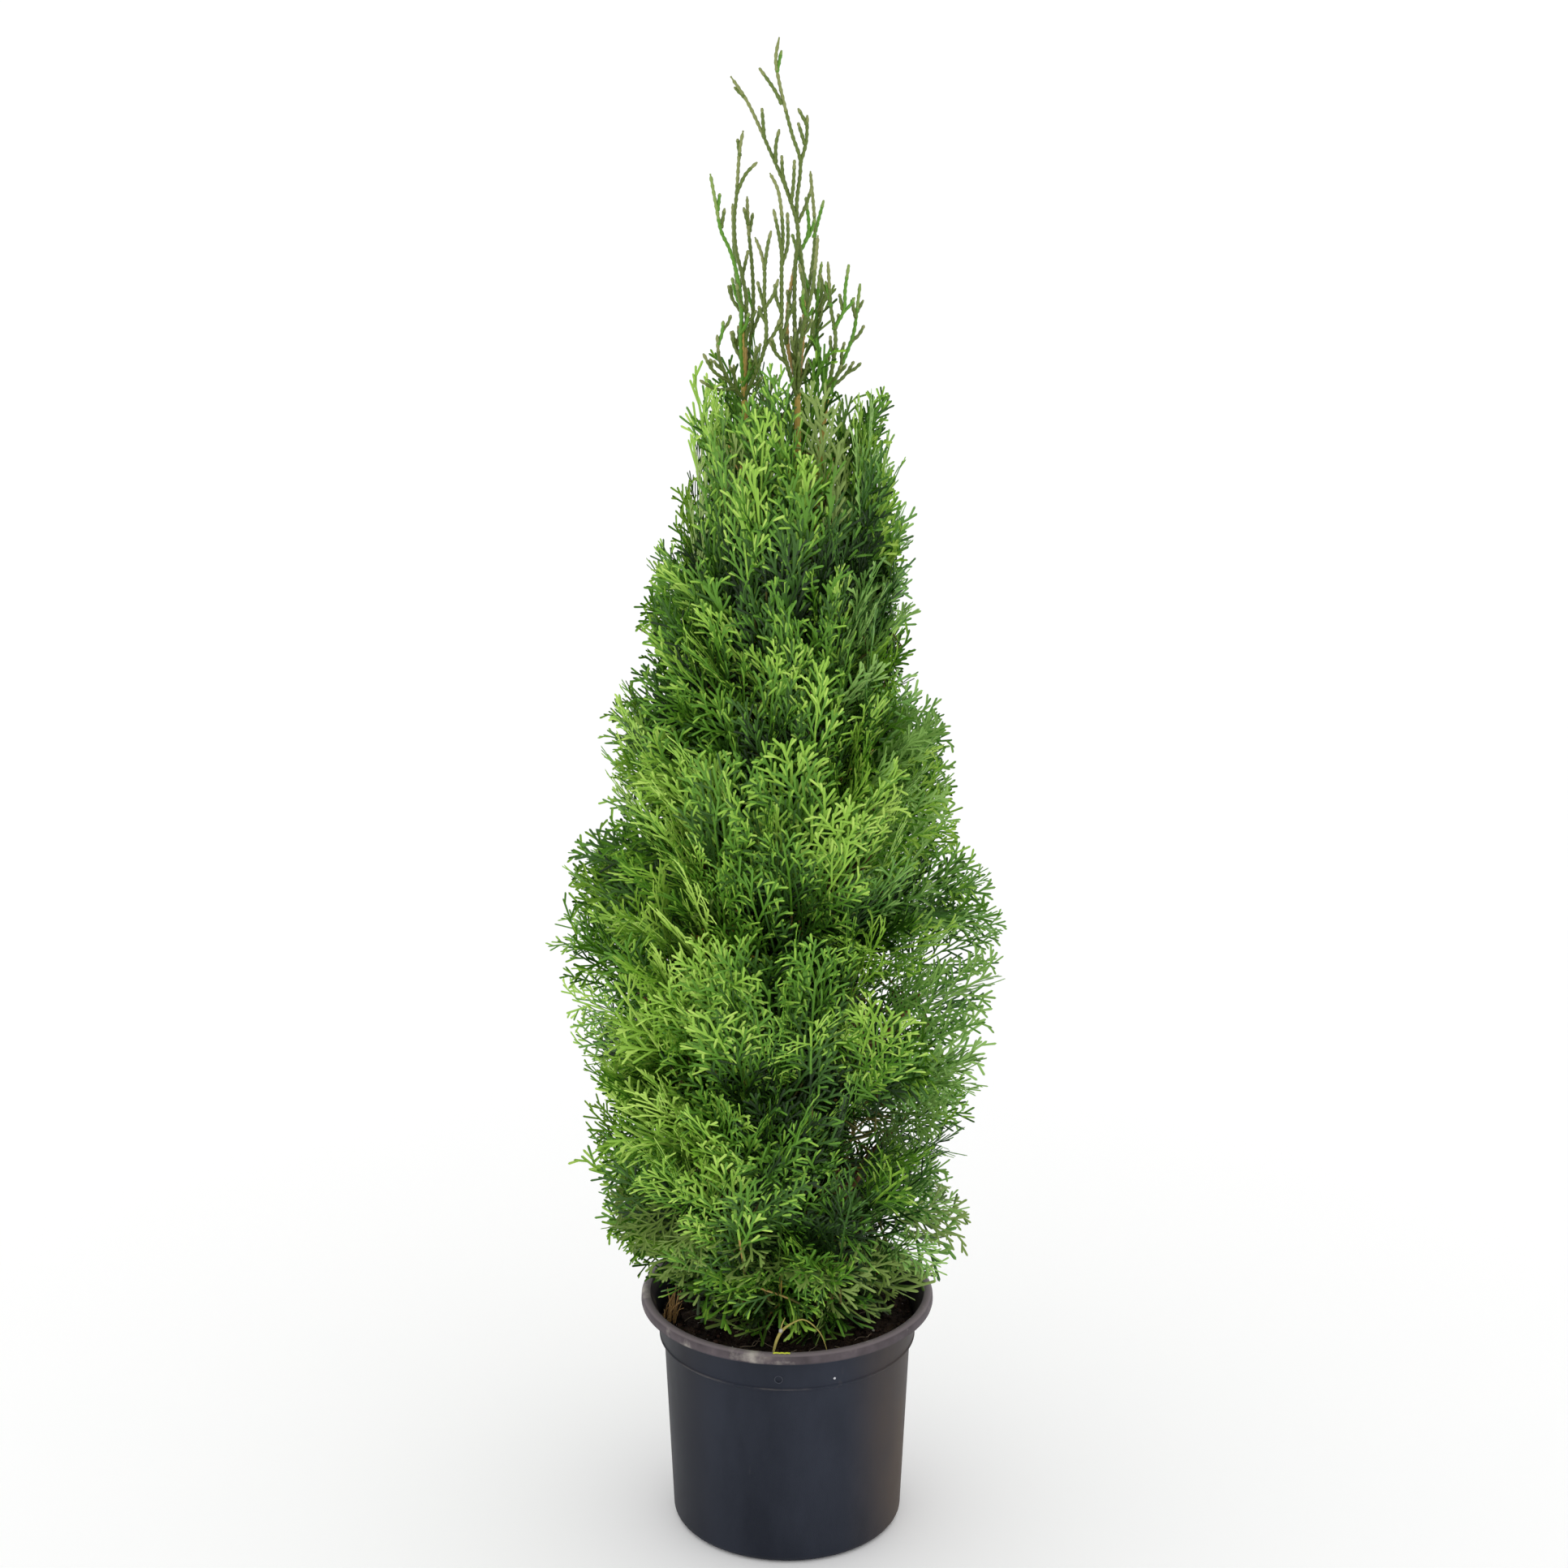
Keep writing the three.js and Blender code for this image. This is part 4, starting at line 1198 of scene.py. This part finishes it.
def grow_shoot(joined, points, radius, bare, rng, level=0):
    """A scale-leaved shoot with alternate laterals that lie nearly along it."""
    made, faces = tube(points, knotted(points, radius, SHOOT["tip"]), SHOOT["sides"])
    stretch = SHOOT["sides"] * (len(points) - 1)
    place = np.minimum(np.arange(len(faces)), 2 * stretch - 1) % stretch / stretch
    green, end = (LADDERS["warm"][2], LADDERS["dull"][2]) if rng.random() < 0.25 else LADDERS["olive"]
    joined.add(made, faces, np.where(place < bare, TWIG, np.where(place > SHOOT["pale"], end, green)))
    if level > 1:
        return
    shares = shares_along(points)
    count = int(distances(points)[-1] / SHOOT["step"])
    plane = rng.uniform(-0.8, 0.8)
    for i in range(1, count + 1):
        share = (i - 0.4) / count
        start = along(points, shares, share)
        if share < bare * 0.8 or share > 0.97 or start[2] > SHOOT["bare_above"]:
            continue
        heading = unit(along(points, shares, share + 0.02) - start)
        aside = unit(np.cross(heading, [math.sin(plane), -math.cos(plane), 0.05])) * (1 if i % 2 else -1)
        spread = math.radians(SHOOT["angle"] + rng.uniform(-6, 8))
        reach = SHOOT["lateral"] * rng.uniform(0.5, 1.25) * (0.6 if level else 1)
        route = [start]
        for turn in (spread, spread * 0.4):
            route.append(route[-1] + (heading * math.cos(turn) + aside * math.sin(turn)) * reach * 0.5)
        if in_crown(route[-1], SHOOT["over"]):
            route = smooth_route(route, SHOOT["station"])
            below = level + 1 if reach > SHOOT["forked_from"] else 2
            grow_shoot(joined, route, radius * SHOOT["thinner"], 0, rng, below)


def shoot_route(stem, lean, slope, route):
    """A route's points in space, in an upright plane through the stem that carries it."""
    axis = stem.at_height(SHOOT["foot"])
    return [
        (x, axis[1] + slope * (x - axis[0]) + lean * (height - SHOOT["foot"]) / 100, height)
        for x, height in route
    ]


def grow_leaders(stems, materials):
    rng = np.random.default_rng(SEEDS["leaders"])
    joined = Joined()
    for (carrier, lean, slope, bare), main, *forks in SHOOTS:
        stem = stems[carrier]
        route = [stem.at_height(SHOOT["foot"]), *shoot_route(stem, lean, slope, main)]
        grow_shoot(joined, smooth_route(route, SHOOT["station"]), SHOOT["radius"], bare, rng)
        for fork in forks:
            route = smooth_route(shoot_route(stem, lean, slope, fork), SHOOT["station"])
            grow_shoot(joined, route, SHOOT["radius"] * SHOOT["thinner"], 0, rng, 1)
    piece = joined.build("foliage_leaders", materials)
    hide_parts("foliage_leader_left", "foliage_leader_top", "foliage_leader_right")
    return piece


# ---- Pot and compost ----


def pot_profile():
    """The pot's section from the axis under its floor, up its outside and down its inside."""
    top, rim, wall, foot = (POT[name] for name in ("height", "rim", "wall", "body_foot"))
    collar_top, collar_foot, body_top = (POT[name] for name in ("collar_top", "collar_foot", "body_top"))
    rounding, inner = POT["foot_round"], rim - POT["lip_width"]
    turns = [math.radians(angle) for angle in range(15, 91, 15)]
    return np.array(
        [
            (0, 1.2),
            (60, 1.2),
            (64, 0),
            (foot - rounding, 0),
            *((foot - rounding * (1 - math.sin(turn)), rounding * (1 - math.cos(turn))) for turn in turns),
            (lerp(foot, body_top, 0.5), lerp(rounding, BODY_TOP, 0.5)),
            (body_top, BODY_TOP - 1.5),
            (body_top + 0.6, BODY_TOP),
            (collar_foot + 0.2, COLLAR_FOOT - 0.8),
            (collar_foot + 0.9, COLLAR_FOOT),
            (collar_foot + 0.9, COLLAR_FOOT + 0.9),
            (collar_foot + 0.1, COLLAR_FOOT + 1.8),
            (collar_top - 0.6, LIP_FOOT - 2),
            (collar_top + 0.6, LIP_FOOT),
            (rim - 1.8, LIP_FOOT),
            (rim - 0.4, LIP_FOOT + 0.8),
            (rim, LIP_FOOT + 2.4),
            (rim - 0.3, top - 4),
            (rim - 1.5, top - 1.4),
            (rim - 3.6, top - 0.1),
            (inner + 3, top),
            (inner + 0.9, top - 0.9),
            (inner, top - 3),
            (collar_top - wall, LIP_FOOT - 2),
            (collar_foot - wall, COLLAR_FOOT),
            (body_top - wall, BODY_TOP),
            (foot - wall, rounding),
            (foot - rounding, POT["floor"]),
            (0, POT["floor"]),
        ]
    )


def lathe(profile, sides):
    """Points and triangles of a profile from axis to axis, turned round the upright."""
    angle = np.arange(sides) * 2 * math.pi / sides
    inner = profile[1:-1]
    across, heights = inner[:, :1], np.repeat(inner[:, 1:], sides, 1)
    rings = np.stack([across * np.cos(angle), across * np.sin(angle), heights], -1).reshape(-1, 3)
    points = np.vstack([rings, [0, 0, profile[0, 1]], [0, 0, profile[-1, 1]]])
    return points, ring_faces(len(inner), sides)


def build_pot():
    joined = Joined()
    joined.add(*lathe(pot_profile(), 144))
    pot = joined.build("nursery_pot", [pot_material()])
    drills = Joined()
    for hole in range(POT["holes"]):
        angle = 2 * math.pi * hole / POT["holes"]
        points = POT["hole_circle"] * heading_at(angle) + [(0, 0, -8), (0, 0, 0), (0, 0, 8)]
        drills.tube(points, POT["hole_radius"], 24)
    drill = drills.build("drill", [])
    cut = pot.modifiers.new("holes", "BOOLEAN")
    cut.object = drill
    cut.operation = "DIFFERENCE"
    cut.solver = "EXACT"
    bpy.context.view_layer.update()
    graph = bpy.context.evaluated_depsgraph_get()
    mesh = bpy.data.meshes.new_from_object(pot.evaluated_get(graph))
    pot.modifiers.clear()
    pot.data = mesh
    bpy.data.objects.remove(drill)
    mesh.set_sharp_from_angle(angle=math.radians(38))
    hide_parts("pot")
    return pot


def bumps(x, y, rng, waves, size):
    """A rough field over the plane, from waves of many headings."""
    total = np.zeros_like(x)
    for _ in range(waves):
        angle, phase = rng.uniform(0, 2 * math.pi, 2)
        pitch = size * rng.uniform(0.5, 1.6)
        total += np.sin((x * math.cos(angle) + y * math.sin(angle)) / pitch + phase)
    return total / math.sqrt(waves)


def build_soil():
    """The compost's rough top, and its sides down to the pot's floor."""
    rng = np.random.default_rng(SEEDS["compost"])
    inside = POT["wall"] + SOIL_GAP
    rings = [
        (POT["body_foot"] - POT["foot_round"] - SOIL_GAP, POT["floor"] + SOIL_GAP),
        (POT["body_foot"] - inside, POT["foot_round"] + SOIL_GAP),
        (POT["body_top"] - inside, BODY_TOP),
        (POT["collar_foot"] - inside, COLLAR_FOOT),
        (SOIL_EDGE, SOIL_TOP - 5),
    ]
    for radius in np.linspace(SOIL_EDGE - 1, 1.5, 72):
        rings.append((radius, SOIL_TOP - 1 - 3 * (radius / SOIL_EDGE) ** 6))
    profile = np.array([(0, POT["floor"] + SOIL_GAP), *rings, (0, SOIL_TOP)])
    points, faces = lathe(profile, 210)
    x, y, z = points.T
    rough = sum(high * bumps(x, y, rng, waves, size) for high, waves, size in SOIL_BUMPS)
    points[:, 2] = z + np.where(z > SOIL_TOP - 4.6, np.clip(rough, -4, 4.5), 0)
    joined = Joined()
    joined.add(points, faces)
    soil = joined.build("compost_fill", [soil_material()])
    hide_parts("soil")
    return soil


CRUMBS = ((420, 1.2, 5.5), (160, 0.8, 3.2), (46, 0.5, 1.5))  # clods, bark and grit: how many, and sizes
THREADS = 46


def crumb_shape():
    """A 20-faced ball whose copies become crumbs."""
    ball = bmesh.new()
    bmesh.ops.create_icosphere(ball, subdivisions=1, radius=1)
    points = np.array([v.co for v in ball.verts])
    faces = np.array([[v.index for v in f.verts] for f in ball.faces])
    ball.free()
    return points, faces


def spot_within(edge, rng):
    """The x and y of a random place less than edge from the axis."""
    radius, angle = edge * math.sqrt(rng.random()), rng.uniform(0, 2 * math.pi)
    return radius * math.cos(angle), radius * math.sin(angle)


def scatter_crumbs(joined, count, smallest, largest, rng, slot):
    """Crumbs of all sizes, sunk a little into the compost."""
    points, faces = crumb_shape()
    for _ in range(count):
        x, y = spot_within(SOIL_EDGE - 4, rng)
        size = lerp(smallest, largest, rng.random() ** 2.5)
        lumps = 1 + 0.22 * np.sin(points @ rng.normal(0, 2.2, (3, 3))).sum(1, keepdims=True) / 1.6
        shape = points * lumps * [rng.uniform(0.7, 1.3), rng.uniform(0.7, 1.3), rng.uniform(0.6, 1.0)]
        joined.add(shape * size + [x, y, SOIL_TOP + size * 0.4], faces, slot)


def scatter_threads(joined, rng, slot):
    """Root threads that wander over the compost."""
    for _ in range(THREADS):
        route = [np.array([*spot_within(SOIL_EDGE * 0.9, rng), SOIL_TOP + rng.uniform(1, 3)])]
        turn = rng.uniform(0, 2 * math.pi)
        for _ in range(4):
            turn += rng.normal(0, 0.6)
            onward = route[-1] + heading_at(turn) * rng.uniform(3, 8)
            if math.hypot(*onward[:2]) > SOIL_EDGE - 4:
                break
            route.append(onward + [0, 0, rng.uniform(-0.4, 0.8)])
        if len(route) > 2:
            points = smooth_route(route, 1.6)
            joined.tube(points, rng.uniform(0.25, 0.5), 5, slot)


def build_litter():
    """What lies on the compost: clods, bark crumbs, grit, root threads and the dry weeds."""
    rng = np.random.default_rng(SEEDS["litter"])
    joined = Joined()
    for slot, (count, smallest, largest) in enumerate(CRUMBS):
        scatter_crumbs(joined, count, smallest, largest, rng, slot)
    scatter_threads(joined, rng, 3)
    add_dry_weeds(joined, rng)
    colours = {
        "bark_crumbs": (70, 48, 36),
        "grit": (196, 192, 182),
        "root_threads": (150, 136, 112),
        "dry_weed": (176, 140, 88),
        "dry_stem": (186, 174, 96),
    }
    materials = [plain_material(name, colour) for name, colour in colours.items()]
    return joined.build("litter", [soil_material(), *materials])


def add_dry_weeds(joined, rng):
    """A bent dry stem with a short arm by the front of the rim, and a tan tuft against the left wall."""
    top = SOIL_TOP + 1.5
    stem = [(-13, -117, top), (-12, -116, 230), (-6, -111, 244), (4, -107, 251)]
    stem += [(15, -103, 253), (30, -103, 240), (40, -105, top)]
    points = smooth_route(stem, 2)
    radii = np.interp(shares_along(points), [0, 0.15, 0.3, 0.45, 1], [1.1, 1.2, 1.7, 0.9, 0.4])
    joined.tube(points, radii, 7, 5)
    arm = smooth_route([(-6, -111, 244), (-5, -110, 251), (-2, -107, 257)], 2)
    joined.tube(arm, np.linspace(0.8, 0.4, len(arm)), 6, 5)
    points, faces = crumb_shape()
    joined.add(points * [2.2, 1.6, 2.6] + [-6, -112, 246], faces, 2)
    for _ in range(26):
        foot = np.array([-112 + rng.normal(0, 3), rng.normal(-22, 7), top])
        lean = np.array([rng.uniform(-0.05, 0.5), rng.normal(-0.1, 0.5), 1])
        tip = foot + unit(lean) * rng.uniform(14, 40)
        tip[0] = max(tip[0], -121)
        middle = lerp(foot, tip, 0.5) + [rng.uniform(-2, 2), rng.uniform(-3, 3), 3]
        points = smooth_route([foot, middle, tip], 3)
        joined.tube(points, np.linspace(0.7, 0.3, len(points)), 5, 4)


def build_rim_scrap():
    """A yellow-green leaf scrap that lies on the front of the rim."""
    joined = Joined()
    centre = POT["rim"] - POT["lip_width"] * 0.45
    low, high = POT["height"] + 0.3, POT["height"] + 0.9
    for x, reach in ((-10, 6), (-5, 5.5), (0, 5)):
        y = -math.sqrt(centre**2 - x**2)
        points = smooth_route([(x - reach / 2, y, low), (x, y - 0.3, high), (x + reach / 2, y, low)], 1)
        joined.tube(points, 0.75, 6)
    return joined.build("rim_scrap", [plain_material("leaf_scrap", (196, 206, 60), 0.6)])


POT_MARKS = ((-8, 202, 3.6, 0.45), (44, 199, 0.6, 0.6))  # x, height, radius and thickness: ring and speck
MARK_PROUD = 0.1735  # of the collar


def build_pot_marks():
    """A small moulded ring and a white speck on the front of the collar."""
    joined = Joined()
    for slot, (x, height, ring, thick) in enumerate(POT_MARKS):
        reach = POT["collar_foot"] + COLLAR_SLOPE * (height - COLLAR_FOOT) + MARK_PROUD
        turns = np.linspace(0, 2 * math.pi, 25)
        points = np.column_stack([x + ring * np.cos(turns), np.zeros(25), height + ring * np.sin(turns)])
        points[:, 1] = -np.sqrt(reach**2 - points[:, 0] ** 2)
        joined.tube(points, thick, 6, slot)
    ring = plain_material("moulded_ring", (62, 66, 76), 0.5)
    return joined.build("pot_marks", [ring, plain_material("speck", (214, 216, 220))])


# ---- Stage ----

FLOOR_HALF = 6000
# Fitted to the pot's rim, band and foot, in metres and degrees.
CAMERA = {"lens": 72.47, "sensor": 36, "place": (-0.003, -2.75, 1.6), "looks_down": 17.34, "clip": 60}
# Name, place, what it aims at, size, power and colour.
LAMPS = (
    ("key", (-1.6, -2.4, 3.0), (0, 0, 0.7), 1.4, 130, (1, 0.98, 0.93)),
    ("fill", (2.2, -2.0, 1.8), (0, 0, 0.6), 2.0, 30, (0.94, 0.97, 1)),
)


def build_floor():
    finish = Finish("floor_paper", (0.985, 0.985, 0.985, 1), 0.9, 0.0)
    joined = Joined()
    corners = np.array([(-1, -1, 0), (1, -1, 0), (1, 1, 0), (-1, 1, 0)], float)
    joined.add(corners * FLOOR_HALF, np.array([(0, 1, 2), (0, 2, 3)]))
    floor = joined.build("floor", [finish.material])


def add_area(name, place, aim, size, power, colour):
    light = bpy.data.lights.new(name, "AREA")
    light.shape = "DISK"
    light.size, light.energy, light.color = size, power, colour
    lamp = linked(name, light)
    direction = np.array(aim, float) - np.array(place, float)
    tilt = math.acos(direction[2] / np.linalg.norm(direction)) - math.pi
    lamp.location = place
    lamp.rotation_euler = (tilt, 0, math.atan2(direction[1], direction[0]) - math.pi / 2)


def build_studio():
    scene = bpy.context.scene
    world = bpy.data.worlds.new("studio")
    world.use_nodes = True
    background = world.node_tree.nodes["Background"]
    background.inputs["Color"].default_value = (1, 1, 1, 1)
    background.inputs["Strength"].default_value = 1.04
    scene.world = world
    for lamp in LAMPS:
        add_area(*lamp)
    scene.view_settings.view_transform = "Standard"


def build_camera():
    lens = bpy.data.cameras.new("camera")
    lens.lens = CAMERA["lens"]
    lens.sensor_width = CAMERA["sensor"]
    lens.clip_end = CAMERA["clip"]
    camera = linked("camera", lens)
    camera.location = CAMERA["place"]
    camera.rotation_euler = (math.radians(90 - CAMERA["looks_down"]), 0, 0)
    bpy.context.scene.camera = camera


def limb_clearance(stems, plans):
    """A test for points that are in the crown and clear of every limb."""
    limbs = [*stems.values(), *(plan["bough"] for plan in plans if plan["bough"])]
    centres = np.vstack([limb.points for limb in limbs])
    radii = np.concatenate([limb.radii for limb in limbs])

    def clear(points):
        apart = np.linalg.norm(points[:, None] - centres[None], axis=2) - radii[None]
        return in_crown(points, EDGE_OVER) & (apart.min(1) > LIMB_CLEAR)

    return clear


def main():
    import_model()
    build_camera()
    stems = stem_limbs()
    plans = plan_masses(stems)
    bark = grow_bark(stems, plans)
    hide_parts(*stems, *(f"bough_{plan['name']}" for plan in plans if plan["bough"]))
    foliage, twigs, materials = grow_foliage(plans, frond_templates(), limb_clearance(stems, plans))
    leaders = grow_leaders(stems, materials)
    pieces = {
        "bark": [bark, twigs],
        "foliage": [*foliage, leaders],
        "pot": [build_pot(), build_pot_marks()],
        "compost": [build_soil(), build_litter()],
    }
    pieces["foliage"].append(build_rim_scrap())
    for slot, own in pieces.items():
        for piece in own:
            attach(piece, "root")
    build_floor()
    build_studio()
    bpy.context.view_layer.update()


main()
